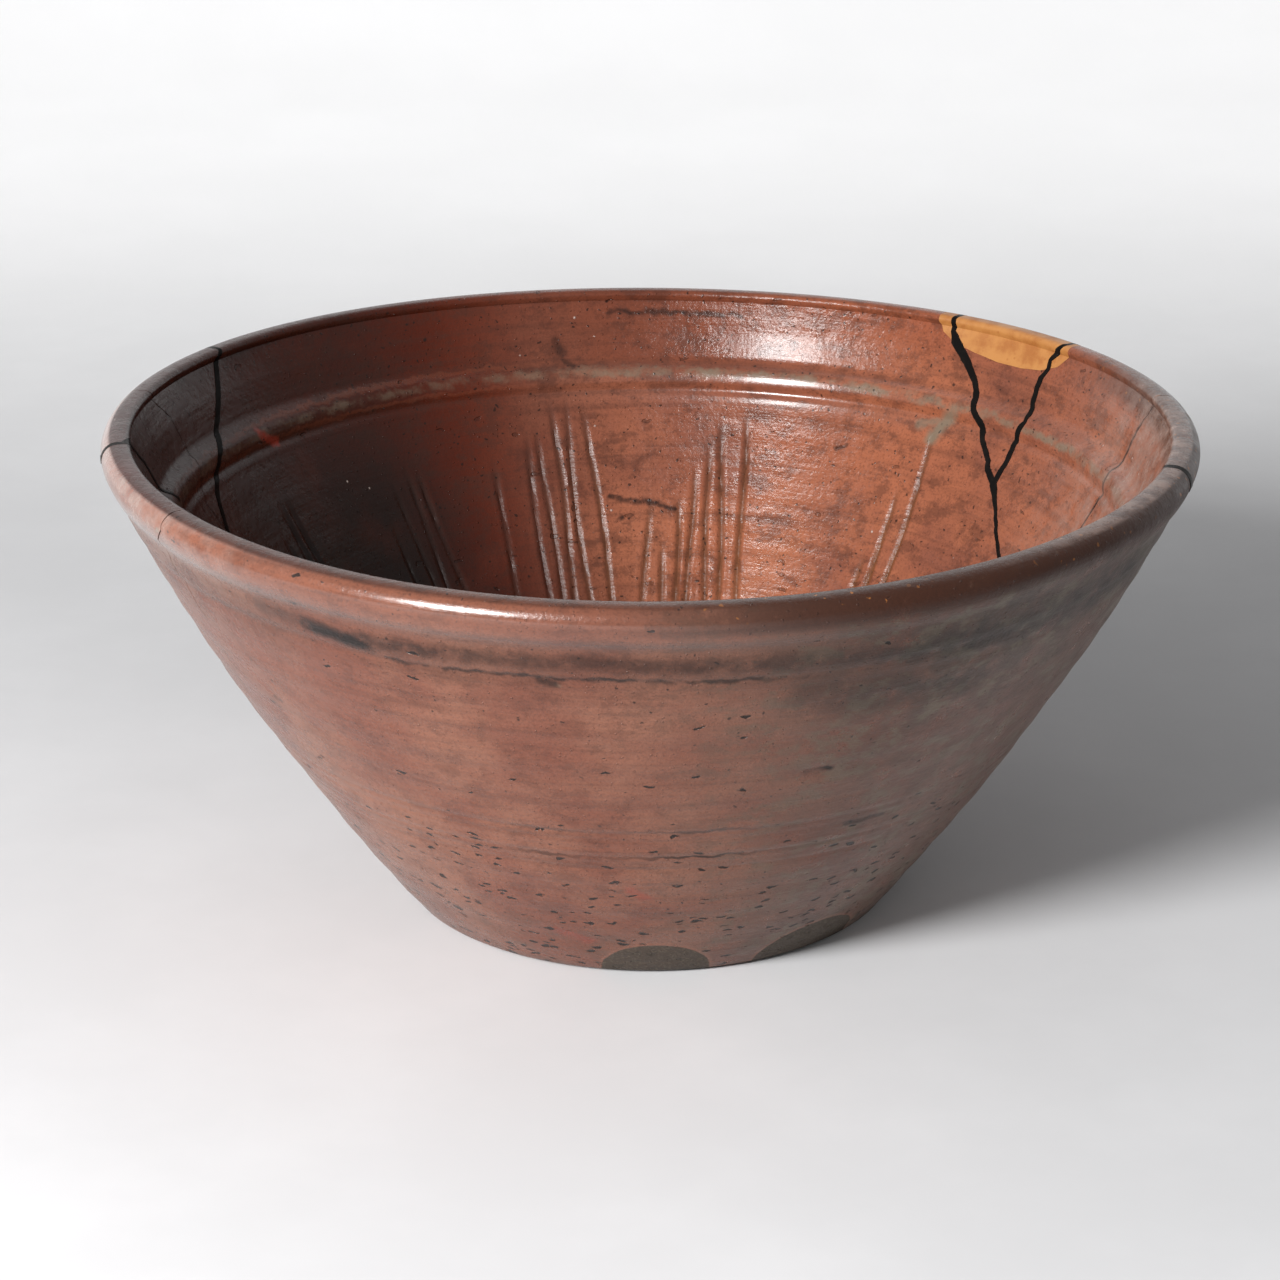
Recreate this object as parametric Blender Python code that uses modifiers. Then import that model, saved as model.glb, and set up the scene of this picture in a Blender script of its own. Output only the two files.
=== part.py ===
"""Cracked mortar bowl: a conical stoneware bowl, combed inside, broken at the rim and mended.

The bowl is turned whole, combed, chipped at the lip and then broken along its cracks, so every
sherd seats in the place it came from. Black lacquer fills the wide cracks and an ochre fill makes
up the chip. Metres, +Z up, origin at the centre of the foot. Azimuth 0 is the front (-Y) and grows
towards +X. A place on the wall is an azimuth in degrees and a drop in millimetres below the rim.
"""

import math

import bmesh
import bpy

MM = 0.001
MERGE = 0.000001
SMALLEST_PIECE = MM**3
SHARP_EDGE = 35

# Bowl
RIM_RADIUS = 0.140
HEIGHT = 0.126
FOOT_RADIUS = 0.0635
WALL_BOW = 0.0046
WALL_AT_RIM = 0.0075
WALL_AT_FOOT = 0.0095
FLOOR_THICKNESS = 0.0095
FLOOR_FILLET = 0.022
FOOT_BEVEL = 0.0012
TURNING_STEPS = 80
INNER_WALL_STATIONS = 7
OUTER_WALL_STATIONS = 8
FILLET_STATIONS = 5
LIP_INNER_STATIONS = 3
LIP_OUTER_STATIONS = 7

# Lip, a bead that stands a little outside the wall
LIP_OUTER_ROUND = 0.0042
LIP_INNER_ROUND = 0.0016
LIP_BEAD_HEIGHT = 0.013

# Ridge and groove inside, below the smooth band under the lip
RIDGE_DROP = 0.0220
RIDGE_WIDTH = 0.0046
RIDGE_HEIGHT = 0.0013
GROOVE_DROP = 0.0264
GROOVE_WIDTH = 0.0020
GROOVE_DEPTH = 0.0006
BAND_HOLLOW = 0.0006

# Line turned outside, below the lip
THROWING_LINE_DROP = 0.0200
THROWING_LINE_WIDTH = 0.0024
THROWING_LINE_DEPTH = 0.0004

# The fired rim sags front and back, and is a little out of round
SAG = 0.00105
TILT = 0.00035
TWO_LOBES = 0.0004
THREE_LOBES = 0.0007
THREE_LOBES_TURN = 41.5

# Comb marks inside
COMB_PITCH = 0.0042
COMB_TOOTH_RADIUS = 0.0011
COMB_DEPTH = 0.0007
COMB_FOOT_HEIGHT = 0.024
COMB_RUN_IN = 0.004
COMB_STATIONS = 4

# Cracks and mends
HAIRLINE = 0.5
CRACK_END_REACH = 0.0005
LACQUER_CLEARANCE = 0.00020
FILL_CLEARANCE = 0.00025
CHIP_TOP_INSET = 0.0026
CHIP_REACH = 0.0100
CHIP_FOOT_DEPTH = 0.0006
CHIP_SLICES = 8
CUT_INSIDE = 0.015
CUT_OUTSIDE = 0.024
ABOVE_RIM = -8.0

# A comb stroke: azimuth of its middle at the top and at the foot of the wall, and each tooth as
# (place in pitches, drop in millimetres at which it bites). The first five are seen in the bowl.
REAR_TEETH = ((4.4, 46), (2.0, 40), (1.15, 39), (0.12, 32), (-0.82, 32), (-2.27, 34))
REAR_RIGHT_TEETH = (
    (3.15, 59),
    (2.0, 69),
    (1.1, 58),
    (0.2, 50),
    (-0.95, 45),
    (-1.85, 38),
    (-3.3, 35),
)
STROKES = (
    (-166.2, -167.2, REAR_TEETH),
    (173.2, 171.9, REAR_RIGHT_TEETH),
    (138.3, 138.4, ((-0.8, 32), (0.4, 49), (1.2, 67))),
    (-139.6, -142.0, ((1.5, 56), (0.4, 47), (-0.7, 44), (-1.8, 45))),
    (-116.6, -118.0, ((1.2, 50), (0.1, 43), (-1.0, 42))),
    (112.0, 111.0, ((-1.5, 70), (-0.5, 66), (0.5, 64), (1.5, 68))),
    (-88.0, -90.0, ((-1.5, 52), (-0.5, 46), (0.5, 48), (1.5, 55))),
    (-60.0, -62.0, ((-2.0, 44), (-1.0, 40), (0.0, 38), (1.0, 41), (2.0, 50))),
    (-31.0, -32.0, ((-2.0, 50), (-1.0, 43), (0.0, 40), (1.0, 38), (2.0, 39))),
    (-2.0, -3.0, ((-2.0, 39), (-1.0, 37), (0.0, 40), (1.0, 46), (2.0, 52))),
    (27.0, 26.0, ((-2.0, 48), (-1.0, 42), (0.0, 38), (1.0, 40), (2.0, 43))),
    (56.0, 55.0, ((-2.0, 42), (-1.0, 38), (0.0, 36), (1.0, 41), (2.0, 49))),
    (84.0, 83.0, ((-1.5, 60), (-0.5, 55), (0.5, 58), (1.5, 63))),
)

# A crack: (azimuth, drop, width in millimetres) at each corner of its path
WEDGE_TIP = (123.4, 38.0)
RIGHT_TIP = (100.2, 74.0)
RIM_TIP_RIGHT = (99.5, 51.0)
LEFT_JOIN = (-101.5, 38.5)
LEFT_TIP = (-100.5, 52.0)

WEDGE_LEFT_CRACK = (
    (139.0, ABOVE_RIM, 1.7),
    (139.0, 4.0, 1.7),
    (138.2, 6.4, 3.0),
    (135.3, 11.6, 2.5),
    (133.6, 15.2, 2.0),
    (131.5, 22.7, 1.9),
    (129.6, 25.6, 2.2),
    (128.6, 29.0, 1.7),
    (126.2, 33.2, 1.8),
    (125.6, 35.2, 2.0),
    (*WEDGE_TIP, 2.2),
)
WEDGE_RIGHT_CRACK = (
    (120.6, ABOVE_RIM, 1.5),
    (121.0, 0.0, 1.5),
    (122.8, 5.0, 1.6),
    (122.5, 7.2, 1.5),
    (123.2, 10.0, 1.9),
    (123.2, 15.5, 1.8),
    (122.2, 21.4, 1.5),
    (122.9, 24.4, 2.0),
    (122.9, 32.5, 1.8),
    (*WEDGE_TIP, 2.2),
)
STEM_CRACK = (
    (*WEDGE_TIP, 2.6),
    (122.3, 40.1, 1.9),
    (120.6, 43.5, 1.3),
    (118.0, 48.5, 1.3),
    (115.7, 51.8, 1.3),
    (108.0, 62.0, 1.2),
    (*RIGHT_TIP, 1.1),
)
RIGHT_HAIRLINE = (
    (97.8, ABOVE_RIM, HAIRLINE),
    (97.8, 1.5, HAIRLINE),
    (98.8, 8.0, HAIRLINE),
    (99.1, 20.0, HAIRLINE),
    (98.6, 26.5, HAIRLINE),
    (98.8, 33.4, HAIRLINE),
    (99.3, 42.0, HAIRLINE),
    (*RIM_TIP_RIGHT, HAIRLINE),
    (*RIGHT_TIP, HAIRLINE),
)
RIM_RIGHT_CRACK = (
    (71.5, ABOVE_RIM, 2.4),
    (72.0, 1.5, 2.4),
    (74.0, 3.2, 1.9),
    (77.0, 5.4, 1.5),
    (81.2, 13.4, 1.2),
    (83.2, 17.5, 1.1),
)
RIM_RIGHT_HAIRLINE = (
    (83.2, 17.5, HAIRLINE),
    (89.0, 29.0, HAIRLINE),
    (94.5, 41.0, HAIRLINE),
    (*RIM_TIP_RIGHT, HAIRLINE),
)
LEFT_CRACK = (
    (-119.4, ABOVE_RIM, 1.6),
    (-119.2, 1.0, 1.6),
    (-118.0, 3.5, 1.8),
    (-116.5, 8.8, 2.0),
    (-113.8, 15.4, 2.0),
    (-111.7, 19.3, 1.9),
    (-107.9, 25.2, 1.9),
    (-104.2, 30.6, 1.8),
    (*LEFT_JOIN, 1.6),
    (-101.3, 45.0, 1.3),
    (*LEFT_TIP, 1.2),
)
LEFT_HAIRLINE = (
    (-100.0, ABOVE_RIM, HAIRLINE),
    (-100.2, 1.0, HAIRLINE),
    (-103.3, 8.7, HAIRLINE),
    (-104.1, 17.3, HAIRLINE),
    (-102.4, 24.0, HAIRLINE),
    (-100.3, 30.2, HAIRLINE),
    (*LEFT_JOIN, HAIRLINE),
)
RIM_LEFT_CRACK = (
    (-80.0, ABOVE_RIM, 2.2),
    (-80.3, 0.5, 2.2),
    (-84.6, 3.2, 1.6),
    (-87.1, 11.0, 1.4),
    (-89.0, 19.1, 1.2),
    (-90.4, 22.8, 1.1),
)
RIM_LEFT_HAIRLINE = (
    (-90.4, 22.8, HAIRLINE),
    (-93.5, 34.0, HAIRLINE),
    (-97.5, 45.0, HAIRLINE),
    (*LEFT_TIP, HAIRLINE),
)
FRONT_HAIRLINE = (
    (-55.5, ABOVE_RIM, HAIRLINE),
    (-56.2, 0.5, HAIRLINE),
    (-58.0, 4.0, HAIRLINE),
    (-58.4, 14.0, HAIRLINE),
    (-57.6, 26.0, HAIRLINE),
)

# What each lacquer seam fills
SEAMS = {
    "lacquer_wedge_seam": (WEDGE_LEFT_CRACK, WEDGE_RIGHT_CRACK, STEM_CRACK),
    "lacquer_left_seam": (LEFT_CRACK,),
    "lacquer_rim_seam_left": (RIM_LEFT_CRACK,),
    "lacquer_rim_seam_right": (RIM_RIGHT_CRACK,),
}
HAIRLINES = (
    RIGHT_HAIRLINE,
    RIM_RIGHT_HAIRLINE,
    LEFT_HAIRLINE,
    RIM_LEFT_HAIRLINE,
    FRONT_HAIRLINE,
)

# Outline of the chip at the lip, from its left end round the lower edge to its right end
CHIP_OUTLINE = (
    (141.4, ABOVE_RIM),
    (141.2, 2.0),
    (140.4, 4.6),
    (138.5, 6.8),
    (135.0, 8.3),
    (131.0, 9.3),
    (127.0, 9.2),
    (123.8, 8.3),
    (121.2, 6.2),
    (119.9, 3.0),
    (119.7, ABOVE_RIM),
)

# Azimuth of the middle of each broken piece. The largest piece is the body.
SHERDS = {
    "wedge_sherd": 130.0,
    "right_rear_sherd": 110.0,
    "right_rim_sherd": 86.0,
    "left_rear_sherd": -109.0,
    "left_rim_sherd": -91.0,
}
FILLS = {"fill_left": 140.2, "fill_middle": 130.0, "fill_right": 120.2}

STONEWARE = ((0.36, 0.155, 0.095), 0.42)
LACQUER = ((0.012, 0.010, 0.009), 0.12)
OCHRE_FILL = ((0.80, 0.44, 0.13), 0.45)

SHOULDER_HEIGHT = HEIGHT - LIP_OUTER_ROUND
WALL_SLOPE = math.atan2(RIM_RADIUS - FOOT_RADIUS, HEIGHT)


def clear_scene():
    for obj in list(bpy.data.objects):
        bpy.data.objects.remove(obj, do_unlink=True)


def new_collection(name, hidden=False):
    collection = bpy.data.collections.new(name)
    collection.hide_render = hidden
    bpy.context.scene.collection.children.link(collection)
    return collection


def material(name, colour, roughness):
    found = bpy.data.materials.new(name)
    found.use_nodes = True
    shader = found.node_tree.nodes["Principled BSDF"]
    shader.inputs["Base Color"].default_value = (*colour, 1.0)
    shader.inputs["Roughness"].default_value = roughness
    shader.inputs["Metallic"].default_value = 0.0
    return found


def outer_radius(z):
    """Radius of the outer wall: a cone from foot to rim that bows out at mid height."""
    share = z / SHOULDER_HEIGHT
    return (
        FOOT_RADIUS
        + (RIM_RADIUS - FOOT_RADIUS) * share
        + 4 * WALL_BOW * share * (1 - share)
    )


def inner_radius(z):
    """Radius of the inner wall, which is thicker at the foot than at the rim."""
    thickness = WALL_AT_FOOT + (WALL_AT_RIM - WALL_AT_FOOT) * z / HEIGHT
    return outer_radius(z) - thickness


def spaced(start, end, count):
    """Count values from start to end, both ends among them."""
    return [start + (end - start) * i / (count - 1) for i in range(count)]


def arc(centre_r, centre_z, radius, start_deg, end_deg, count):
    turns = [math.radians(a) for a in spaced(start_deg, end_deg, count)]
    return [(centre_r + radius * math.cos(a), centre_z + radius * math.sin(a)) for a in turns]


def floor_and_fillet():
    """The flat floor, then the arc that turns up into the wall."""
    step = MM
    rise = math.atan2(step, inner_radius(FLOOR_THICKNESS + step) - inner_radius(FLOOR_THICKNESS))
    corner = inner_radius(FLOOR_THICKNESS)
    centre = corner - FLOOR_FILLET * math.tan(rise / 2)
    turned = arc(
        centre,
        FLOOR_THICKNESS + FLOOR_FILLET,
        FLOOR_FILLET,
        -90,
        math.degrees(rise) - 90,
        FILLET_STATIONS,
    )
    return [(0.0, FLOOR_THICKNESS), *turned]


def ridge_and_band():
    """The groove, the ridge over it and the smooth hollow band up to the lip."""
    groove = HEIGHT - GROOVE_DROP
    ridge = HEIGHT - RIDGE_DROP
    lip = HEIGHT - LIP_INNER_ROUND
    places = (
        (groove - GROOVE_WIDTH / 2, 0.0),
        (groove, GROOVE_DEPTH),
        (groove + GROOVE_WIDTH / 2, 0.0),
        (ridge - RIDGE_WIDTH / 4, -RIDGE_HEIGHT),
        (ridge + RIDGE_WIDTH / 6, -RIDGE_HEIGHT),
        (ridge + RIDGE_WIDTH / 2, BAND_HOLLOW),
        ((ridge + RIDGE_WIDTH / 2 + lip) / 2, BAND_HOLLOW),
    )
    return [(inner_radius(z) + out, z) for z, out in places]


def bowl_profile():
    """Half section from the middle of the floor, over the lip and down the outside to the foot."""
    points = floor_and_fillet()
    wall_start = points[-1][1]
    wall_end = HEIGHT - GROOVE_DROP - GROOVE_WIDTH / 2
    wall = spaced(wall_start, wall_end, INNER_WALL_STATIONS)
    points += [(inner_radius(z), z) for z in wall[1:-1]]
    points += ridge_and_band()
    points += arc(
        RIM_RADIUS - WALL_AT_RIM + LIP_INNER_ROUND,
        HEIGHT - LIP_INNER_ROUND,
        LIP_INNER_ROUND,
        180,
        90,
        LIP_INNER_STATIONS,
    )
    points += arc(
        RIM_RADIUS - LIP_OUTER_ROUND,
        SHOULDER_HEIGHT,
        LIP_OUTER_ROUND,
        90,
        -math.degrees(WALL_SLOPE),
        LIP_OUTER_STATIONS,
    )
    line = HEIGHT - THROWING_LINE_DROP
    points.append((outer_radius(HEIGHT - LIP_BEAD_HEIGHT), HEIGHT - LIP_BEAD_HEIGHT))
    for z, depth in (
        (line + THROWING_LINE_WIDTH / 2, 0.0),
        (line, THROWING_LINE_DEPTH),
        (line - THROWING_LINE_WIDTH / 2, 0.0),
    ):
        points.append((outer_radius(z) - depth, z))
    below = spaced(line - THROWING_LINE_WIDTH / 2, FOOT_BEVEL, OUTER_WALL_STATIONS)
    points += [(outer_radius(z), z) for z in below[1:]]
    points += [(FOOT_RADIUS - FOOT_BEVEL, 0.0), (0.0, 0.0)]
    return points


def turned_bowl(name, collection):
    """The whole bowl, its half section turned about the vertical axis."""
    points = bowl_profile()
    mesh = bpy.data.meshes.new(name)
    mesh.from_pydata(
        [(r, 0.0, z) for r, z in points], [(i, i + 1) for i in range(len(points) - 1)], []
    )
    bowl = bpy.data.objects.new(name, mesh)
    collection.objects.link(bowl)
    screw = bowl.modifiers.new("turning", "SCREW")
    screw.axis = "Z"
    screw.angle = math.tau
    screw.steps = TURNING_STEPS
    screw.render_steps = TURNING_STEPS
    screw.use_merge_vertices = True
    screw.merge_threshold = MERGE
    return bowl


def as_mesh(obj, name, collection):
    """A new mesh object holding what obj evaluates to; obj is removed."""
    bpy.context.view_layer.update()
    graph = bpy.context.evaluated_depsgraph_get()
    mesh = bpy.data.meshes.new_from_object(obj.evaluated_get(graph))
    mesh.name = name
    made = bpy.data.objects.new(name, mesh)
    made.matrix_world = obj.matrix_world.copy()
    collection.objects.link(made)
    bpy.data.objects.remove(obj, do_unlink=True)
    return made


def close_and_face_out(obj):
    shape = bmesh.new()
    shape.from_mesh(obj.data)
    bmesh.ops.remove_doubles(shape, verts=shape.verts, dist=MERGE)
    bmesh.ops.recalc_face_normals(shape, faces=shape.faces)
    shape.to_mesh(obj.data)
    shape.free()


def mark_as_cutter(obj):
    obj.hide_render = True
    obj.display_type = "WIRE"
    return obj


def boolean(obj, other, operation, solver="EXACT"):
    cut = obj.modifiers.new(other.name, "BOOLEAN")
    cut.operation = operation
    cut.solver = solver
    cut.object = other
    return cut


def wall_place(azimuth, z, offset):
    """A point offset from the inner wall, square to its slope. Azimuth is in radians."""
    radius = inner_radius(z) + offset * math.cos(WALL_SLOPE)
    height = z - offset * math.sin(WALL_SLOPE)
    return radius * math.sin(azimuth), -radius * math.cos(azimuth), height


def flake_place(azimuth, z, offset):
    """As wall_place, but an offset of 0 is the flake surface left by the chip at the lip."""
    top = RIM_RADIUS - CHIP_TOP_INSET
    foot_z = HEIGHT - CHIP_REACH
    foot = inner_radius(foot_z) + CHIP_FOOT_DEPTH
    radius = foot + (top - foot) * (z - foot_z) / CHIP_REACH + offset
    return (radius * math.sin(azimuth), -radius * math.cos(azimuth), z)


def slab_on_wall(name, outline, near, far, place, collection, slices=()):
    """A flat outline of (azimuth, height), thickened and wrapped round the wall by place."""
    curve = bpy.data.curves.new(name, "CURVE")
    curve.dimensions = "2D"
    curve.fill_mode = "BOTH"
    curve.extrude = 0.5
    spline = curve.splines.new("POLY")
    spline.points.add(len(outline) - 1)
    for point, (azimuth, z) in zip(spline.points, outline):
        point.co = (azimuth, z / RIM_RADIUS, 0.0, 1.0)
    spline.use_cyclic_u = True
    flat = bpy.data.objects.new(name, curve)
    collection.objects.link(flat)
    slab = as_mesh(flat, name, collection)
    shape = bmesh.new()
    shape.from_mesh(slab.data)
    bmesh.ops.remove_doubles(shape, verts=shape.verts, dist=MERGE)
    for azimuth in slices:
        bmesh.ops.bisect_plane(
            shape,
            geom=[*shape.verts, *shape.edges, *shape.faces],
            plane_co=(azimuth, 0.0, 0.0),
            plane_no=(1.0, 0.0, 0.0),
        )
    for vert in shape.verts:
        azimuth, height, side = vert.co
        vert.co = place(azimuth, height * RIM_RADIUS, near + (far - near) * (side + 0.5))
    bmesh.ops.triangulate(shape, faces=shape.faces, quad_method="SHORT_EDGE")
    bmesh.ops.recalc_face_normals(shape, faces=shape.faces)
    if shape.calc_volume(signed=True) < 0:
        bmesh.ops.reverse_faces(shape, faces=shape.faces)
    shape.to_mesh(slab.data)
    shape.free()
    return mark_as_cutter(slab)


def turn_and_height(azimuth_deg, drop_mm):
    """A place on the wall as its azimuth in radians and its height."""
    return math.radians(azimuth_deg), HEIGHT - drop_mm * MM


def crack_outline(path, clearance):
    """Both sides of a crack's path, each half its width from the middle less a clearance.

    Both ends reach a little past the path, so that cracks which meet run into each other.
    """
    middle = [turn_and_height(azimuth, drop) for azimuth, drop, _ in path]
    last = len(middle) - 1
    sides = ([], [])
    for i, (azimuth, z) in enumerate(middle):
        before = middle[max(i - 1, 0)]
        after = middle[min(i + 1, last)]
        radius = inner_radius(z)
        along = (after[0] - before[0]) * radius
        up = (after[1] - before[1]) / math.cos(WALL_SLOPE)
        length = math.hypot(along, up)
        along /= length
        up /= length
        past = {0: -1, last: 1}.get(i, 0) * (CRACK_END_REACH - clearance)
        half = path[i][2] * MM / 2 - clearance
        for side, sign in zip(sides, (1, -1)):
            side.append(
                (
                    azimuth + (past * along - sign * half * up) / radius,
                    z + (past * up + sign * half * along) * math.cos(WALL_SLOPE),
                )
            )
    return sides[0] + sides[1][::-1]


def crack_cutter(name, path, collection, clearance=0.0):
    return slab_on_wall(
        name, crack_outline(path, clearance), -CUT_INSIDE, CUT_OUTSIDE, wall_place, collection
    )


def comb_splines(curve):
    """Adds one round-nosed groove for each tooth of each stroke."""
    for top_azimuth, foot_azimuth, teeth in STROKES:
        for place, bite in teeth:
            start = HEIGHT - bite * MM
            heights = [start + COMB_RUN_IN, start - COMB_RUN_IN]
            heights += spaced(start - COMB_RUN_IN, COMB_FOOT_HEIGHT, COMB_STATIONS)[1:]
            heights.append(COMB_FOOT_HEIGHT - COMB_RUN_IN)
            spline = curve.splines.new("POLY")
            spline.points.add(len(heights) - 1)
            last = len(heights) - 1
            for i, (point, z) in enumerate(zip(spline.points, heights)):
                lift = COMB_DEPTH - COMB_TOOTH_RADIUS
                if i in (0, last):
                    lift -= 2 * COMB_DEPTH
                share = (HEIGHT - z) / (HEIGHT - COMB_FOOT_HEIGHT)
                middle = math.radians(top_azimuth + (foot_azimuth - top_azimuth) * share)
                azimuth = middle + place * COMB_PITCH / inner_radius(z)
                point.co = (*wall_place(azimuth, z, lift), 1.0)


def comb_cutter(collection):
    curve = bpy.data.curves.new("comb_teeth", "CURVE")
    curve.dimensions = "3D"
    curve.fill_mode = "FULL"
    curve.bevel_depth = COMB_TOOTH_RADIUS
    curve.bevel_resolution = 1
    curve.use_fill_caps = True
    comb_splines(curve)
    teeth = bpy.data.objects.new("comb_teeth", curve)
    collection.objects.link(teeth)
    cutter = as_mesh(teeth, "comb_teeth", collection)
    close_and_face_out(cutter)
    return mark_as_cutter(cutter)


def chip_cutter(name, clearance, collection):
    """The flake that came off the lip: everything inside the flake surface within the outline."""
    outline = [turn_and_height(azimuth, drop) for azimuth, drop in CHIP_OUTLINE]
    middle = sum(azimuth for azimuth, _ in outline) / len(outline)
    turned = clearance / RIM_RADIUS
    fitted = []
    for azimuth, z in outline:
        side = turned if azimuth < middle else -turned
        fitted.append((azimuth + side, z + clearance))
    slices = spaced(fitted[0][0], fitted[-1][0], CHIP_SLICES + 1)[1:-1]
    return slab_on_wall(name, fitted, -CUT_INSIDE, -clearance, flake_place, collection, slices)


def islands(shape):
    """Groups of vertices that no edge joins to the rest."""
    left = set(shape.verts)
    while left:
        found = {left.pop()}
        front = list(found)
        while front:
            vert = front.pop()
            for edge in vert.link_edges:
                other = edge.other_vert(vert)
                if other in left:
                    left.discard(other)
                    found.add(other)
                    front.append(other)
        yield found


def warp(co):
    """Sags and rounds out the rim as firing did, growing from nothing at the foot."""
    radius = math.hypot(co.x, co.y)
    if radius < MM:
        return
    turn = math.atan2(co.x, -co.y)
    grown = (co.z / HEIGHT) ** 2
    lobes = TWO_LOBES * math.sin(2 * turn)
    lobes += THREE_LOBES * math.cos(3 * turn + math.radians(THREE_LOBES_TURN))
    co.z -= grown * (SAG * math.cos(2 * turn) + TILT * math.sin(turn))
    scale = 1 + grown * lobes / radius
    co.x *= scale
    co.y *= scale


def pieces_of(obj, collection):
    """Breaks obj into its loose pieces, warped, as a list of (volume, azimuth, object)."""
    whole = as_mesh(obj, obj.name, collection)
    shape = bmesh.new()
    shape.from_mesh(whole.data)
    shape.verts.ensure_lookup_table()
    groups = [sorted(v.index for v in group) for group in islands(shape)]
    shape.free()
    found = []
    for group in groups:
        kept = set(group)
        piece = bmesh.new()
        piece.from_mesh(whole.data)
        lost = [v for v in piece.verts if v.index not in kept]
        bmesh.ops.delete(piece, geom=lost, context="VERTS")
        volume = abs(piece.calc_volume())
        if volume < SMALLEST_PIECE:
            piece.free()
            continue
        middle_x = sum(v.co.x for v in piece.verts) / len(piece.verts)
        middle_y = sum(v.co.y for v in piece.verts) / len(piece.verts)
        for vert in piece.verts:
            warp(vert.co)
        mesh = bpy.data.meshes.new(whole.name + "_piece")
        piece.to_mesh(mesh)
        piece.free()
        made = bpy.data.objects.new(mesh.name, mesh)
        collection.objects.link(made)
        found.append((volume, math.degrees(math.atan2(middle_x, -middle_y)), made))
    bpy.data.objects.remove(whole, do_unlink=True)
    return sorted(found, key=lambda item: -item[0])


def finish(obj, name, look):
    colour, roughness = look
    obj.name = name
    obj.data.name = name
    obj.data.materials.clear()
    obj.data.materials.append(material(name, colour, roughness))
    obj.data.shade_smooth()
    obj.data.set_sharp_from_angle(angle=math.radians(SHARP_EDGE))


def name_pieces(found, names, look):
    """Gives each piece the name whose azimuth is nearest its own."""
    for name, azimuth in names.items():
        nearest = min(found, key=lambda item: abs(item[1] - azimuth))
        found.remove(nearest)
        finish(nearest[2], name, look)
    for _, _, spare in found:
        bpy.data.objects.remove(spare, do_unlink=True)


def build():
    clear_scene()
    parts = new_collection("cracked_mortar_bowl")
    cutters = new_collection("cutters", hidden=True)

    whole = mark_as_cutter(as_mesh(turned_bowl("whole_bowl", cutters), "whole_bowl", cutters))
    cracks = {
        seam: [crack_cutter(f"crack_{seam}_{i}", path, cutters) for i, path in enumerate(paths)]
        for seam, paths in SEAMS.items()
    }
    hairlines = [
        crack_cutter(f"hairline_{i}", path, cutters) for i, path in enumerate(HAIRLINES)
    ]
    slots = [cutter for group in cracks.values() for cutter in group]

    bowl = bpy.data.objects.new("bowl", whole.data.copy())
    parts.objects.link(bowl)
    boolean(bowl, comb_cutter(cutters), "DIFFERENCE", "MANIFOLD")
    boolean(bowl, chip_cutter("chip", 0.0, cutters), "DIFFERENCE")
    for cutter in slots + hairlines:
        boolean(bowl, cutter, "DIFFERENCE", "MANIFOLD")
    stoneware = pieces_of(bowl, parts)
    finish(stoneware.pop(0)[2], "bowl_body", STONEWARE)
    name_pieces(stoneware, SHERDS, STONEWARE)

    fill = bpy.data.objects.new("fill", whole.data.copy())
    parts.objects.link(fill)
    boolean(fill, chip_cutter("chip_fill", FILL_CLEARANCE, cutters), "INTERSECT")
    for cutter in cracks["lacquer_wedge_seam"]:
        boolean(fill, cutter, "DIFFERENCE", "MANIFOLD")
    name_pieces(pieces_of(fill, parts), FILLS, OCHRE_FILL)

    for seam, paths in SEAMS.items():
        strips = [
            crack_cutter(f"{seam}_strip_{i}", path, cutters, LACQUER_CLEARANCE)
            for i, path in enumerate(paths)
        ]
        lacquer = bpy.data.objects.new(seam, strips[0].data.copy())
        parts.objects.link(lacquer)
        for strip in strips[1:]:
            boolean(lacquer, strip, "UNION", "MANIFOLD")
        boolean(lacquer, whole, "INTERSECT", "MANIFOLD")
        filled = pieces_of(lacquer, parts)
        finish(filled.pop(0)[2], seam, LACQUER)
        for _, _, spare in filled:
            bpy.data.objects.remove(spare, do_unlink=True)


build()
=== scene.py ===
import math

import bmesh
import bpy
import numpy as np
from bpy.props import FloatProperty, FloatVectorProperty, IntProperty, PointerProperty
from bpy.types import Operator, Panel, PropertyGroup
from mathutils import Matrix, Vector, noise


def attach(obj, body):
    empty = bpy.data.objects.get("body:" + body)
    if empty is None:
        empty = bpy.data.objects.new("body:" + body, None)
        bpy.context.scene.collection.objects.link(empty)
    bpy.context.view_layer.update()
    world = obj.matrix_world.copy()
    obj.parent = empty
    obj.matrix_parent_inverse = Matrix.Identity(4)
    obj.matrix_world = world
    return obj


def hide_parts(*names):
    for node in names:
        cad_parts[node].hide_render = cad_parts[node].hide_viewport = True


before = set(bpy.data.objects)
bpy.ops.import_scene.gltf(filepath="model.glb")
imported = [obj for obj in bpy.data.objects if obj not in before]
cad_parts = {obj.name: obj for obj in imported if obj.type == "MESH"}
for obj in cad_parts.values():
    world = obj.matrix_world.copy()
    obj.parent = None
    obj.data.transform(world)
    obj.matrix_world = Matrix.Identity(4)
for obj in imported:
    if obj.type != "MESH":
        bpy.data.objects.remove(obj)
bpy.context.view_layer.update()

bl_info = {
    "name": "Cracked mortar bowl",
    "version": (1, 0, 0),
    "blender": (4, 5, 0),
    "location": "3D View > Sidebar > Bowl",
    "description": "Fired stoneware bowl, combed inside, broken at the rim and mended with lacquer",
    "category": "Object",
}

MM = 0.001
MERGE = 0.000001
WORKSHOP = "bowl_workshop"
WHOLE_BOWL = "whole_bowl"

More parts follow.
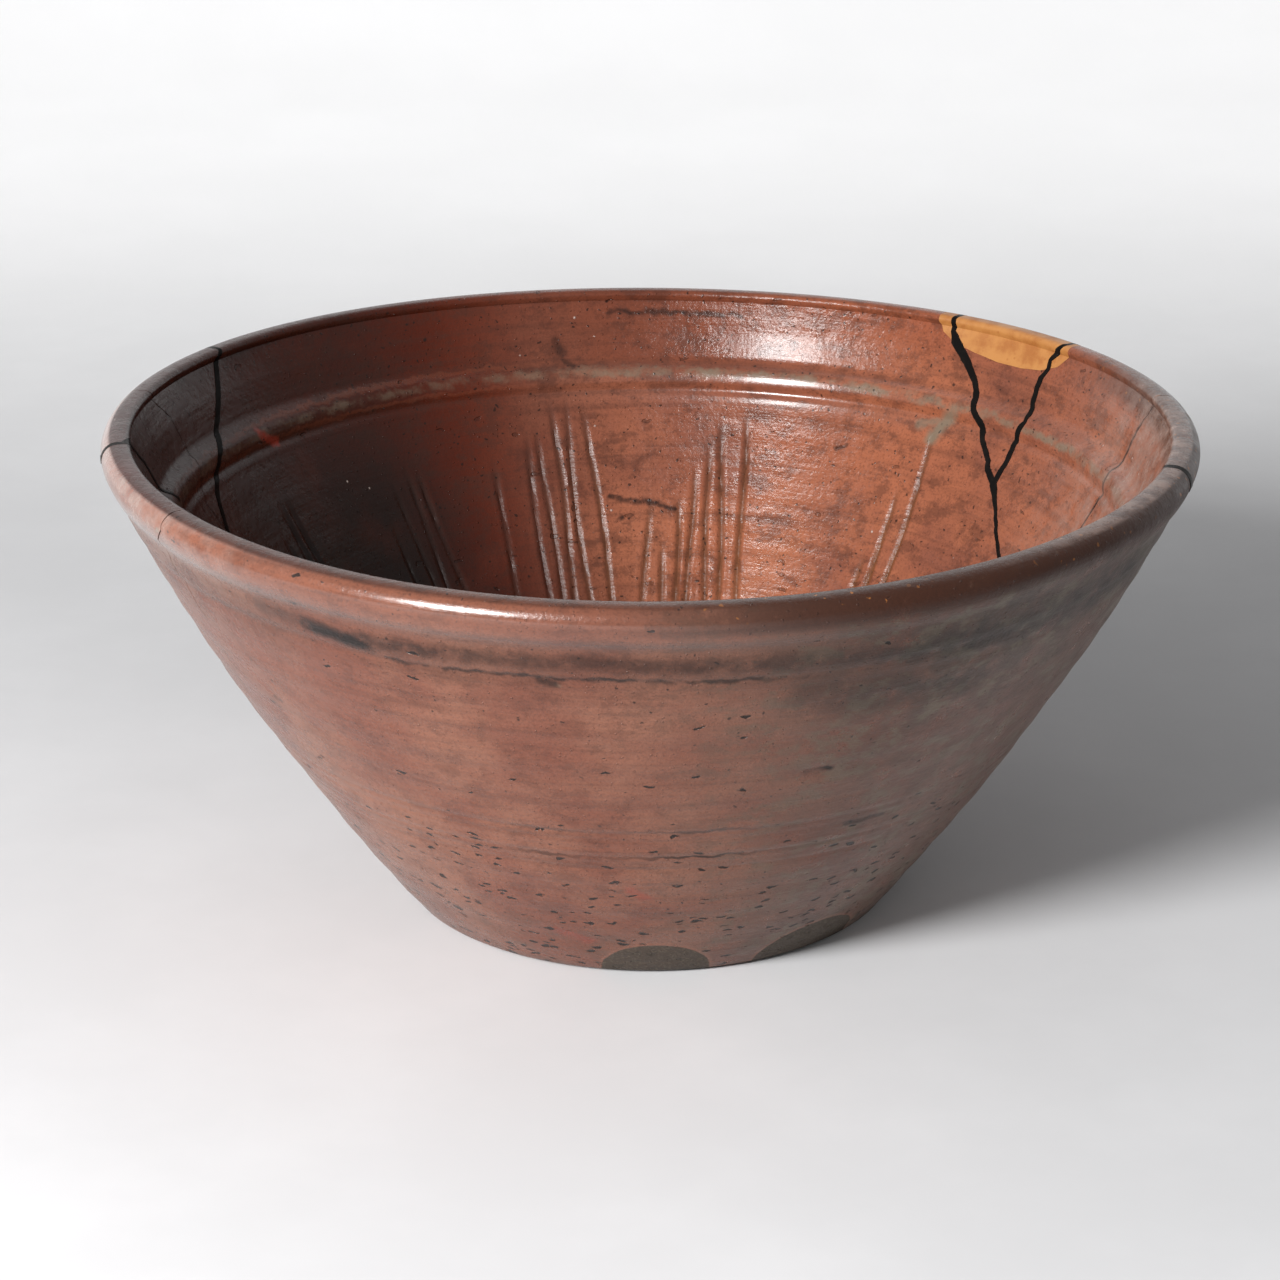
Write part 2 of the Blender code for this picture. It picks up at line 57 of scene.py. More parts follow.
# Fixed details of the turned section
LIP_OUTER_ROUND = 0.0042
LIP_INNER_ROUND = 0.0016
LIP_BEAD_HEIGHT = 0.013
FLOOR_FILLET = 0.022
FOOT_BEVEL = 0.0012

# Row spacing of the turned mesh, and where its rows are fine: round the inner ridge, and outside
# above one height and between two others, where lines are turned in the wall
FINE_ROW = 0.0006
MIDDLE_ROW = 0.0014
COARSE_ROW = 0.0021
FINE_BELOW_RIDGE = 0.0075
FINE_ABOVE_RIDGE = 0.0055
FINE_OUTSIDE_ABOVE = 0.100
LOW_LINES = (0.041, 0.058)
FLOOR_STEP = 0.006
FOOT_STEP = 0.010
# Edges sharper than this many degrees are drawn sharp
SHARP_EDGE = 42

# The fired rim sags front and back, and is a little out of round
SAG = 0.00105
TILT = 0.00035
TWO_LOBES = 0.0004
THREE_LOBES = 0.0007
THREE_LOBES_TURN = 41.5

# A comb stroke: azimuth of its middle at the top and at the foot of the wall, and each tooth as
# (place in pitches, drop in millimetres at which it bites)
COMB_FOOT_HEIGHT = 0.024
STROKES = (
    (-166.2, -167.2, ((4.4, 46), (2.0, 40), (1.15, 39), (0.12, 32), (-0.82, 32), (-2.27, 34))),
    (
        173.2,
        171.9,
        ((3.15, 59), (2.0, 69), (1.1, 58), (0.2, 50), (-0.95, 45), (-1.85, 38), (-3.3, 35)),
    ),
    (138.3, 138.4, ((-0.8, 32), (0.4, 49), (1.2, 67))),
    (-139.6, -142.0, ((1.5, 56), (0.4, 47), (-0.7, 44), (-1.8, 45))),
    (-116.6, -118.0, ((1.2, 50), (0.1, 43), (-1.0, 42))),
    (112.0, 111.0, ((-1.5, 70), (-0.5, 66), (0.5, 64), (1.5, 68))),
    (-88.0, -90.0, ((-1.5, 52), (-0.5, 46), (0.5, 48), (1.5, 55))),
    (-60.0, -62.0, ((-2.0, 44), (-1.0, 40), (0.0, 38), (1.0, 41), (2.0, 50))),
    (-31.0, -32.0, ((-2.0, 50), (-1.0, 43), (0.0, 40), (1.0, 38), (2.0, 39))),
    (-2.0, -3.0, ((-2.0, 39), (-1.0, 37), (0.0, 40), (1.0, 46), (2.0, 52))),
    (27.0, 26.0, ((-2.0, 48), (-1.0, 42), (0.0, 38), (1.0, 40), (2.0, 43))),
    (56.0, 55.0, ((-2.0, 42), (-1.0, 38), (0.0, 36), (1.0, 41), (2.0, 49))),
    (84.0, 83.0, ((-1.5, 60), (-0.5, 55), (0.5, 58), (1.5, 63))),
)

# A crack: (azimuth, drop, width in millimetres) at each corner of its path
ABOVE_RIM = -8.0
HAIRLINE_WIDTH = 0.32
CUT_INSIDE = 0.015
CUT_OUTSIDE = 0.024
CRACK_END_REACH = 0.0005
CRACK_STEP = 0.0012
WEDGE_TIP = (123.4, 38.0)
RIGHT_TIP = (100.2, 74.0)
RIM_TIP_RIGHT = (99.5, 51.0)
LEFT_JOIN = (-101.5, 38.5)
LEFT_TIP = (-100.5, 52.0)


def hairline(*corners):
    """A crack as narrow as a hair through these corners, each (azimuth, drop)."""
    return tuple((azimuth, drop, HAIRLINE_WIDTH) for azimuth, drop in corners)


WEDGE_LEFT_CRACK = (
    (139.0, ABOVE_RIM, 1.7),
    (139.0, 4.0, 1.7),
    (138.2, 6.4, 3.0),
    (135.3, 11.6, 2.5),
    (133.6, 15.2, 2.0),
    (131.5, 22.7, 1.9),
    (129.6, 25.6, 2.2),
    (128.6, 29.0, 1.7),
    (126.2, 33.2, 1.8),
    (125.6, 35.2, 2.0),
    (*WEDGE_TIP, 2.2),
)
WEDGE_RIGHT_CRACK = (
    (120.6, ABOVE_RIM, 1.5),
    (121.0, 0.0, 1.5),
    (122.8, 5.0, 1.6),
    (122.5, 7.2, 1.5),
    (123.2, 10.0, 1.9),
    (123.2, 15.5, 1.8),
    (122.2, 21.4, 1.5),
    (122.9, 24.4, 2.0),
    (122.9, 32.5, 1.8),
    (*WEDGE_TIP, 2.2),
)
STEM_CRACK = (
    (*WEDGE_TIP, 2.6),
    (122.3, 40.1, 1.9),
    (120.6, 43.5, 1.3),
    (118.0, 48.5, 1.3),
    (115.7, 51.8, 1.3),
    (108.0, 62.0, 1.2),
    (*RIGHT_TIP, 1.1),
)
RIGHT_HAIRLINE = hairline(
    (97.8, ABOVE_RIM),
    (97.8, 1.5),
    (98.8, 8.0),
    (99.1, 20.0),
    (98.6, 26.5),
    (98.8, 33.4),
    (99.3, 42.0),
    RIM_TIP_RIGHT,
    RIGHT_TIP,
)
RIM_RIGHT_CRACK = (
    (71.5, ABOVE_RIM, 2.4),
    (72.0, 1.5, 2.4),
    (74.0, 3.2, 1.9),
    (77.0, 5.4, 1.5),
    (81.2, 13.4, 1.2),
    (83.2, 17.5, 1.1),
)
RIM_RIGHT_HAIRLINE = hairline(
    (83.2, 17.5),
    (89.0, 29.0),
    (94.5, 41.0),
    RIM_TIP_RIGHT,
)
LEFT_CRACK = (
    (-119.4, ABOVE_RIM, 1.6),
    (-119.2, 1.0, 1.6),
    (-118.0, 3.5, 1.8),
    (-116.5, 8.8, 2.0),
    (-113.8, 15.4, 2.0),
    (-111.7, 19.3, 1.9),
    (-107.9, 25.2, 1.9),
    (-104.2, 30.6, 1.8),
    (*LEFT_JOIN, 1.6),
    (-101.3, 45.0, 1.3),
    (*LEFT_TIP, 1.2),
)
LEFT_HAIRLINE = hairline(
    (-100.0, ABOVE_RIM),
    (-100.2, 1.0),
    (-103.3, 8.7),
    (-104.1, 17.3),
    (-102.4, 24.0),
    (-100.3, 30.2),
    LEFT_JOIN,
)
RIM_LEFT_CRACK = (
    (-80.0, ABOVE_RIM, 2.2),
    (-80.3, 0.5, 2.2),
    (-84.6, 3.2, 1.6),
    (-87.1, 11.0, 1.4),
    (-89.0, 19.1, 1.2),
    (-90.4, 22.8, 1.1),
)
RIM_LEFT_HAIRLINE = hairline(
    (-90.4, 22.8),
    (-93.5, 34.0),
    (-97.5, 45.0),
    LEFT_TIP,
)
FRONT_HAIRLINE = hairline(
    (-55.5, ABOVE_RIM),
    (-56.2, 0.5),
    (-58.0, 4.0),
    (-58.4, 14.0),
    (-57.6, 26.0),
)
SEAMS = {
    "lacquer_wedge_seam": (WEDGE_LEFT_CRACK, WEDGE_RIGHT_CRACK, STEM_CRACK),
    "lacquer_left_seam": (LEFT_CRACK,),
    "lacquer_rim_seam_left": (RIM_LEFT_CRACK,),
    "lacquer_rim_seam_right": (RIM_RIGHT_CRACK,),
}
STAINED_HAIRLINES = (RIGHT_HAIRLINE, RIM_RIGHT_HAIRLINE)
HAIRLINES = (*STAINED_HAIRLINES, LEFT_HAIRLINE, RIM_LEFT_HAIRLINE, FRONT_HAIRLINE)

# Outline of the chip at the lip, from its left end round the lower edge to its right end
CHIP_OUTLINE = (
    (141.4, ABOVE_RIM),
    (141.2, 2.0),
    (140.4, 4.6),
    (138.5, 6.8),
    (135.0, 8.3),
    (131.0, 9.3),
    (127.0, 9.2),
    (123.8, 8.3),
    (121.2, 6.2),
    (119.9, 3.0),
    (119.7, ABOVE_RIM),
)
CHIP_TOP_INSET = 0.0026
CHIP_REACH = 0.0100
CHIP_FOOT_DEPTH = 0.0006

# Azimuth of the middle of each broken piece. The largest piece is the body.
SHERDS = {
    "wedge_sherd": 130.0,
    "right_rear_sherd": 110.0,
    "right_rim_sherd": 86.0,
    "left_rear_sherd": -109.0,
    "left_rim_sherd": -91.0,
}
FILLS = {"fill_left": 140.2, "fill_middle": 130.0, "fill_right": 120.2}

# Lines turned outside: (height, depth, half width) in millimetres
OUTER_LINES = (
    (106.0, 0.40, 0.9),
    (100.5, 0.12, 0.8),
    (88.0, 0.10, 0.9),
    (72.0, 0.12, 0.8),
    (55.3, 0.22, 0.6),
    (51.7, 0.14, 0.5),
    (46.2, 0.26, 0.6),
    (42.4, 0.16, 0.5),
    (31.0, 0.10, 0.8),
)
# Dents outside: (azimuth, height, along, up, depth) in degrees and millimetres
DENTS = (
    (19.8, 73.0, 3.4, 0.9, 0.75),
    (21.0, 72.2, 1.6, 0.9, 0.5),
    (-50.4, 78.6, 0.9, 0.7, 0.6),
    (-47.0, 40.0, 1.5, 0.8, 0.4),
    (62.0, 60.0, 1.4, 0.9, 0.4),
    (133.0, 52.0, 1.6, 0.8, 0.5),
    (-128.0, 66.0, 1.5, 0.9, 0.5),
)

# Small marks on the clay: (wall, azimuth and height of one end, of the other end, half width in
# millimetres, strength). A mark runs straight, so a long one is given in parts.
SOOT_AND_SHADOW_MARKS = (
    # The first rows darken a band under the lip bead: dark marks, and painted shadow of the bead
    ("outer", -36.0, 110.4, -29.0, 108.6, 2.3, 1.0),
    ("outer", -42.0, 112.0, -36.0, 110.8, 2.0, 0.35),
    ("outer", -30.0, 109.8, -20.0, 110.8, 2.4, 0.75),
    ("outer", -20.0, 110.8, -6.0, 111.2, 2.4, 0.62),
    ("outer", -6.0, 111.2, 11.0, 110.4, 2.5, 0.66),
    ("outer", 11.0, 110.4, 26.0, 108.6, 3.0, 0.55),
    ("outer", 26.0, 108.6, 44.0, 106.6, 4.2, 0.60),
    ("outer", 44.0, 106.6, 60.0, 108.6, 5.0, 0.55),
    ("outer", 16.0, 99.0, 36.0, 95.0, 6.0, 0.45),
    ("outer", -10.8, 105.2, -9.6, 104.2, 1.5, 0.8),
    ("outer", -27.0, 105.6, -14.0, 106.0, 0.7, 0.8),
    ("outer", -14.0, 106.0, -2.0, 105.8, 0.7, 0.85),
    ("outer", -2.0, 105.8, 11.0, 105.2, 0.7, 0.75),
    ("outer", 11.0, 105.2, 30.0, 104.6, 0.7, 0.55),
    ("outer", 18.8, 73.4, 21.6, 73.0, 1.0, 0.95),
    ("outer", -51.0, 78.7, -49.9, 78.5, 0.6, 0.9),
    ("outer", 28.0, 52.0, 34.0, 51.5, 0.7, 0.6),
    ("inner", -175.3, 120.3, 176.0, 120.0, 0.9, 0.75),
    ("inner", 176.0, 120.0, 168.0, 119.6, 0.8, 0.7),
    ("inner", -165.0, 101.5, -172.0, 101.8, 0.9, 0.5),
    ("inner", -174.1, 71.2, 178.5, 69.6, 0.9, 0.85),
    ("inner", 178.5, 69.6, 175.6, 68.2, 0.7, 0.8),
    ("inner", -175.8, 66.2, -175.5, 65.6, 0.8, 0.9),
    ("inner", -167.9, 113.0, -168.8, 110.0, 1.3, 0.6),
    ("inner", -169.0, 107.6, -169.9, 105.6, 1.1, 0.6),
    ("inner", 150.0, 88.0, 151.5, 87.6, 0.6, 0.7),
)
RED_MARKS = (
    ("inner", -119.3, 103.4, -122.6, 99.6, 1.2, 0.8),
    ("outer", -3.0, 34.0, -1.0, 31.0, 1.4, 0.35),
    ("outer", -18.0, 16.0, -12.0, 12.5, 1.6, 0.3),
)
ASH_MARKS = (
    ("inner", 137.2, 94.2, 134.9, 101.8, 1.9, 0.85),
    ("inner", 139.6, 97.0, 136.0, 99.0, 1.2, 0.6),
    ("outer", -9.5, 104.0, -9.0, 103.4, 0.7, 0.5),
    ("outer", -55.8, 125.2, -57.6, 120.5, 0.5, 0.9),
    ("outer", -57.6, 120.5, -58.4, 108.0, 0.25, 0.5),
)

# Dark lines that follow the wheel low on the outside: (height, strength)
WHEEL_LINES = ((0.0553, 0.55), (0.0462, 0.85))
# Bare clay at the foot: (azimuth, half width in degrees, height in millimetres)
BARE_ARCS = ((1.2, 12.2, 11.5), (37.0, 13.5, 12.0))
WORN_LACQUER = (0.03, 0.024, 0.02)

# The stage, in metres: half the floor's width, the bend up to the backdrop, and its top
FLOOR_REACH = 3.0
BEND_AT = 0.9
BEND_RADIUS = 0.6
BACKDROP_TOP = 3.5
LAMP_TOWARD = (-0.533, -0.682, 0.50)
LAMP_DISTANCE = 1.3
LAMP_SIZE = 0.36
CAMERA_TARGET = (-0.0023, 0.0, 0.0658)
CAMERA_ROLL = -0.17


def length(name, description, default):
    return FloatProperty(name=name, description=description, default=default, unit="LENGTH")


def colour(name, description, default):
    return FloatVectorProperty(
        name=name, description=description, default=default, size=3, subtype="COLOR", min=0, max=1
    )


class BowlSizes(PropertyGroup):
    """Sizes of the turned bowl, its comb marks and its mends."""

    rim_radius: length("Rim radius", "Half the width over the lip", 0.13996)
    height: length("Height", "From the foot to the lip", 0.126)
    foot_radius: length("Foot radius", "Half the width of the foot", 0.0635)
    wall_bow: length("Wall bow", "How far the wall bows out", 0.0046)
    wall_at_rim: length("Wall at rim", "Thickness at the lip", 0.0075)
    wall_at_foot: length("Wall at foot", "Thickness at the foot", 0.0095)
    floor_thickness: length("Floor", "Thickness of the floor", 0.0095)
    ridge_drop: length("Ridge drop", "Inner ridge, below the lip", 0.0220)
    ridge_height: length("Ridge height", "How far the ridge stands", 0.0012)
    comb_pitch: length("Comb pitch", "Between two teeth", 0.0042)
    comb_depth: length("Comb depth", "How deep the teeth bite", 0.00065)
    turning_steps: IntProperty(
        name="Turning steps", description="Columns of the mesh round the bowl", default=320
    )
    lacquer_proud: length("Lacquer stands", "Over the wall", 0.00014)
    seat_gap: length("Seat gap", "Between mend and clay", 0.00003)


class ClayColours(PropertyGroup):
    """Colours of the fired clay."""

    body: colour("Body", "Red-brown body", (0.193, 0.067, 0.042))
    body_pale: colour("Pale body", "Paler patches of the body", (0.258, 0.109, 0.069))
    flush: colour("Flush", "Orange flush inside and on the lip", (0.272, 0.079, 0.038))
    streak: colour("Streak", "Dark wheel streaks", (0.058, 0.021, 0.014))
    ash: colour("Ash film", "Grey-brown film of ash", (0.088, 0.064, 0.053))
    ash_grey: colour("Ash", "Grey ash on edges", (0.175, 0.140, 0.098))
    # Smoked red-brown, also used as painted shade on the inside left and along the band at the back
    smoked_and_shaded_wall: colour("Dark wall", "Smoked red-brown inside on the left", (0.088, 0.013, 0.0045))
    # Soot in the clay; the same colour also serves as painted shade and as painted shadow under the
    # lip
    soot_and_shade: colour("Soot", "Carbon in the clay", (0.011, 0.0070, 0.0060))
    red: colour("Red", "Iron-red drips", (0.300, 0.035, 0.020))
    # Painted light: a brighter orange standing for the light that pools low on the right inside
    glow: colour("Glow", "Brighter orange low on the right", (0.365, 0.124, 0.062))
    amber: colour("Amber", "Amber flecks on the dark lip", (0.340, 0.125, 0.032))
    # Painted glint: pale dots on the small glassy beads inside
    painted_glint: colour("Bead", "Small glassy beads inside", (0.620, 0.520, 0.470))
    dark_lip: colour("Dark lip", "Brown of the lip at the front right", (0.045, 0.016, 0.009))
    # Painted sheen: a pale colour standing for reflection on the outer left of the rim and on the
    # inner right
    sheen: colour("Pale film", "Thin pale film on the left of the rim", (0.310, 0.215, 0.180))
    bare: colour("Bare clay", "Unflashed clay at the foot", (0.052, 0.043, 0.033))


class MendColours(PropertyGroup):
    """Colours of the mends."""

    lacquer: colour("Lacquer", "Black lacquer in the cracks", (0.008, 0.007, 0.0065))
    ochre: colour("Ochre fill", "Ochre of the filled chip", (0.470, 0.205, 0.058))
    ochre_dark: colour("Ochre shade", "Darker clouds in the fill", (0.330, 0.110, 0.022))


class StageSettings(PropertyGroup):
    """Floor, lamp and camera."""

    floor: colour("Floor", "Pale floor and backdrop", (0.70, 0.70, 0.71))
    key_power: FloatProperty(
        name="Key power", description="Power of the soft lamp", default=24.6, unit="POWER"
    )
    sky: FloatProperty(name="Sky", description="Strength of the even light", default=0.33)
    camera_distance: length("Camera distance", "From the bowl's axis", 0.9441)
    camera_elevation: FloatProperty(
        name="Camera elevation",
        description="Above the horizon",
        default=math.radians(20.43),
        subtype="ANGLE",
    )
    lens: FloatProperty(name="Lens", description="Focal length", default=101.25)


# Shape


def spaced(start, end, count):
    """Count values from start to end, both ends among them."""
    return [start + (end - start) * i / (count - 1) for i in range(count)]


def stepped(start, end, step):
    """Evenly spaced values from start to end, about step apart."""
    return spaced(start, end, max(2, round(abs(end - start) / step) + 1))


def arc(centre_r, centre_z, radius, start_deg, end_deg, count):
    turns = [math.radians(a) for a in spaced(start_deg, end_deg, count)]
    return [(centre_r + radius * math.cos(a), centre_z + radius * math.sin(a)) for a in turns]


def outer_radius(size, z):
    share = z / (size.height - LIP_OUTER_ROUND)
    span = size.rim_radius - size.foot_radius
    return size.foot_radius + span * share + 4 * size.wall_bow * share * (1 - share)


def inner_radius(size, z):
    thinning = (size.wall_at_rim - size.wall_at_foot) * z / size.height
    return outer_radius(size, z) - size.wall_at_foot - thinning


def wall_slope(size):
    return math.atan2(size.rim_radius - size.foot_radius, size.height)


def half_section(size):
    """Half section from the middle of the floor, over the lip, to the middle of the foot."""
    floor = size.floor_thickness
    rise = math.atan2(MM, inner_radius(size, floor + MM) - inner_radius(size, floor))
    centre = inner_radius(size, floor) - FLOOR_FILLET * math.tan(rise / 2)
    points = [(r, floor) for r in stepped(0.0, centre, FLOOR_STEP)][:-1]
    points += arc(centre, floor + FLOOR_FILLET, FLOOR_FILLET, -90, math.degrees(rise) - 90, 9)
    ridge = size.height - size.ridge_drop
    lip = size.height - LIP_INNER_ROUND
    heights = stepped(points[-1][1], ridge - FINE_BELOW_RIDGE, COARSE_ROW)[1:]
    heights += stepped(heights[-1], ridge + FINE_ABOVE_RIDGE, FINE_ROW)[1:]
    heights += stepped(heights[-1], lip, MIDDLE_ROW)[1:-1]
    points += [(inner_radius(size, z), z) for z in heights]
    points += arc(
        size.rim_radius - size.wall_at_rim + LIP_INNER_ROUND, lip, LIP_INNER_ROUND, 180, 90, 5
    )
    shoulder = size.height - LIP_OUTER_ROUND
    slope = math.degrees(wall_slope(size))
    points += arc(size.rim_radius - LIP_OUTER_ROUND, shoulder, LIP_OUTER_ROUND, 90, -slope, 11)
    painted_glint = size.height - LIP_BEAD_HEIGHT
    r, z = points[-1]
    for share in spaced(0.0, 1.0, 7)[1:]:
        eased = share - 0.06 * math.sin(math.tau * share)
        points.append((r + (outer_radius(size, painted_glint) - r) * eased, z + (painted_glint - z) * share))
    heights = stepped(painted_glint, FINE_OUTSIDE_ABOVE, FINE_ROW * 1.3)[1:]
    heights += stepped(heights[-1], LOW_LINES[1], COARSE_ROW)[1:]
    heights += stepped(heights[-1], LOW_LINES[0], FINE_ROW)[1:]
    heights += stepped(heights[-1], FOOT_BEVEL, COARSE_ROW)[1:]
    points += [(outer_radius(size, z), z) for z in heights]
    points.append((size.foot_radius - FOOT_BEVEL / 3, FOOT_BEVEL / 3))
    points += [(r, 0.0) for r in stepped(size.foot_radius - FOOT_BEVEL, 0.0, FOOT_STEP)]
    return points


def as_object(name, shape, collection):
    """A new object holding the bmesh, which is freed."""
    mesh = bpy.data.meshes.new(name)
    shape.to_mesh(mesh)
    shape.free()
    made = bpy.data.objects.new(name, mesh)
    collection.objects.link(made)
    return made


def turned_bowl(size, collection):
    """The whole bowl, its half section spun about the vertical axis, finer where it is combed."""
    shape = bmesh.new()
    verts = [shape.verts.new((0.0, -r, z)) for r, z in half_section(size)]
    edges = [shape.edges.new(pair) for pair in zip(verts, verts[1:])]
    bmesh.ops.spin(
        shape,
        geom=verts + edges,
        cent=(0.0, 0.0, 0.0),
        axis=(0.0, 0.0, 1.0),
        angle=math.tau,
        steps=size.turning_steps,
        use_merge=True,
    )
    bmesh.ops.remove_doubles(shape, verts=shape.verts, dist=MERGE * 5)
    top = size.height - size.ridge_drop - 0.006
    combed = []
    for edge in shape.edges:
        first, second = (vert.co for vert in edge.verts)
        inside = math.hypot(first.x, first.y) < inner_radius(size, first.z) + MM
        if inside and COMB_FOOT_HEIGHT - 0.006 < first.z < top and abs(first.z - second.z) < MERGE:
            combed.append(edge)
    bmesh.ops.subdivide_edges(shape, edges=combed, cuts=2, use_grid_fill=True)
    bmesh.ops.recalc_face_normals(shape, faces=shape.faces)
    return as_object(WHOLE_BOWL, shape, collection)


def coordinates(mesh):
    co = np.zeros(len(mesh.vertices) * 3, np.float32)
    mesh.vertices.foreach_get("co", co)
    return co.reshape(-1, 3).astype(float)


def smooth(low, high, value):
    """Eases from 0 at low to 1 at high."""
    share = np.clip((value - low) / (high - low), 0.0, 1.0)
    return share * share * (3 - 2 * share)


def bell(offset, width):
    return np.exp(-((offset / width) ** 2))


def waves(place, scale, seed):
    """Soft noise from -1 to 1 at each place."""
    shift = Vector((seed, seed * 0.37, -seed * 0.71))
    return np.array([noise.noise(Vector(p) * scale + shift) for p in place])


def turned(azimuth, centre):
    """Azimuth from centre, in degrees between -180 and 180."""
    return (azimuth - centre + 180.0) % 360.0 - 180.0


def comb_relief(size, azimuth, z, radius):
    """How far the comb's teeth bite into the wall, with the burr that each pushes up."""
    depth = np.zeros_like(z)
    reach = size.height - COMB_FOOT_HEIGHT
    for top, foot, teeth in STROKES:
        for place, bite in teeth:
            middle = top + (foot - top) * (size.height - z) / reach
            line = middle + np.degrees(place * size.comb_pitch / radius)
            line += 0.35 * np.sin(z * 95.0 + place * 2.1 + top)
            across = np.radians(turned(azimuth, line)) * radius / MM
            start = size.height - bite * MM
            along = smooth(start + 0.004, start - 0.005, z)
            along *= smooth(COMB_FOOT_HEIGHT - 0.004, COMB_FOOT_HEIGHT + 0.004, z)
            along *= 0.85 + 0.15 * np.sin(z * 310.0 + place * 5.0)
            groove = bell(across, 0.74) - 0.18 * bell(np.abs(across) - 1.45, 0.60)
            depth += along * groove
    return size.comb_depth * np.clip(depth, -0.45, 1.05)


def inner_relief(size, azimuth, z, radius, place):
    """How far the inner wall is cut back, or stands out where negative."""
    turn = np.radians(azimuth)
    waver = 0.35 * np.sin(3 * turn + 1.0) + 0.2 * np.sin(7 * turn)
    over = (z - (size.height - size.ridge_drop)) / MM - waver
    ridge = -size.ridge_height * bell(over + 1.1, 2.5) - 0.00026 * bell(over - 1.1, 0.9)
    groove = 0.0004 * bell(over + 4.6, 0.95)
    hollow = 0.00080 * smooth(0.8, 3.8, over) * smooth(12.0, 3.8, over)
    rings = 0.00006 * np.sin(z / MM * 2.1 + 0.8 * np.sin(2 * turn))
    rings *= smooth(size.height, size.height - 0.006, z)
    swell = 0.00028 * waves(place, 34.0, 3.1) * smooth(size.height, size.height - 0.010, z)
    return ridge + groove + hollow + rings + swell + comb_relief(size, azimuth, z, radius)


def outer_relief(size, azimuth, z, radius, place):
    """How far the outer wall is cut back, or stands out where negative."""
    turn = np.radians(azimuth)
    depth = np.zeros_like(z)
    for height, cut, half_width in OUTER_LINES:
        waver = 0.5 * np.sin(turn + height) + 0.25 * np.sin(3 * turn + height * 2)
        patchy = 0.75 + 0.25 * np.sin(2 * turn + height * 3)
        depth += cut * MM * patchy * bell(z / MM - height - waver, half_width)
    for centre, height, along, up, cut in DENTS:
        across = np.radians(turned(azimuth, centre)) * radius / MM
        depth += cut * MM * bell(across, along) * bell(z / MM - height, up)
    fade = smooth(size.height - 0.002, size.height - 0.010, z) * smooth(0.0, 0.006, z)
    rings = 0.00010 * np.sin(z / MM * 0.62 + 0.5 * np.sin(turn)) + 0.00003 * np.sin(z / MM * 2.3)
    swell = 0.00040 * waves(place, 26.0, 8.7)
    return (depth + rings + swell) * fade


def walls_of(size, co):
    """Azimuth in degrees, radius, and masks of the inner wall and the outer wall."""
    azimuth = np.degrees(np.arctan2(co[:, 0], -co[:, 1]))
    radius = np.hypot(co[:, 0], co[:, 1])
    z = co[:, 2]
    middle = (inner_radius(size, z) + outer_radius(size, z)) / 2
    inner = (radius < middle) & (z > size.floor_thickness - MM)
    outer = ~inner & (z > MERGE)
    return azimuth, radius, inner, outer


def set_coordinates(mesh, co):
    mesh.vertices.foreach_set("co", co.astype(np.float32).ravel())
    mesh.update()


def shape_walls(size, bowl):
    """Combs, rings and dents the walls, each point moving square to its wall."""
    co = coordinates(bowl.data)
    azimuth, radius, inner, outer = walls_of(size, co)
    slope = wall_slope(size)
    inner &= co[:, 2] > size.floor_thickness + 2 * MM
    for wall, relief, outward in ((inner, inner_relief, 1), (outer, outer_relief, -1)):
        depth = outward * relief(size, azimuth[wall], co[wall, 2], radius[wall], co[wall])
        turn = np.radians(azimuth[wall])
        co[wall, 0] += depth * math.cos(slope) * np.sin(turn)
        co[wall, 1] -= depth * math.cos(slope) * np.cos(turn)
        co[wall, 2] -= depth * math.sin(slope)
    set_coordinates(bowl.data, co)


def warp(size, co):
    """Sags and rounds out the rim as firing did, growing from nothing at the foot."""
    radius = np.hypot(co[:, 0], co[:, 1])
    turn = np.arctan2(co[:, 0], -co[:, 1])
    grown = (co[:, 2] / size.height) ** 2
    lobes = TWO_LOBES * np.sin(2 * turn)
    lobes += THREE_LOBES * np.cos(3 * turn + math.radians(THREE_LOBES_TURN))
    scale = 1 + grown * lobes / np.maximum(radius, MM)
    moved = co.copy()
    moved[:, 2] -= grown * (SAG * np.cos(2 * turn) + TILT * np.sin(turn))
    moved[:, :2] *= scale[:, None]
    return moved


# Breaking


def wall_place(size, azimuth, z, offset):
    """A point offset from the inner wall, square to its slope. Azimuth is in radians."""
    slope = wall_slope(size)
    radius = inner_radius(size, z) + offset * math.cos(slope)
    return radius * math.sin(azimuth), -radius * math.cos(azimuth), z - offset * math.sin(slope)


def flake_place(size, azimuth, z, offset):
    """As wall_place, but an offset of 0 is the flake surface left by the chip at the lip."""
    top = size.rim_radius - CHIP_TOP_INSET
    foot_z = size.height - CHIP_REACH
    foot = inner_radius(size, foot_z) + CHIP_FOOT_DEPTH
    radius = foot + (top - foot) * (z - foot_z) / CHIP_REACH + offset
    return radius * math.sin(azimuth), -radius * math.cos(azimuth), z


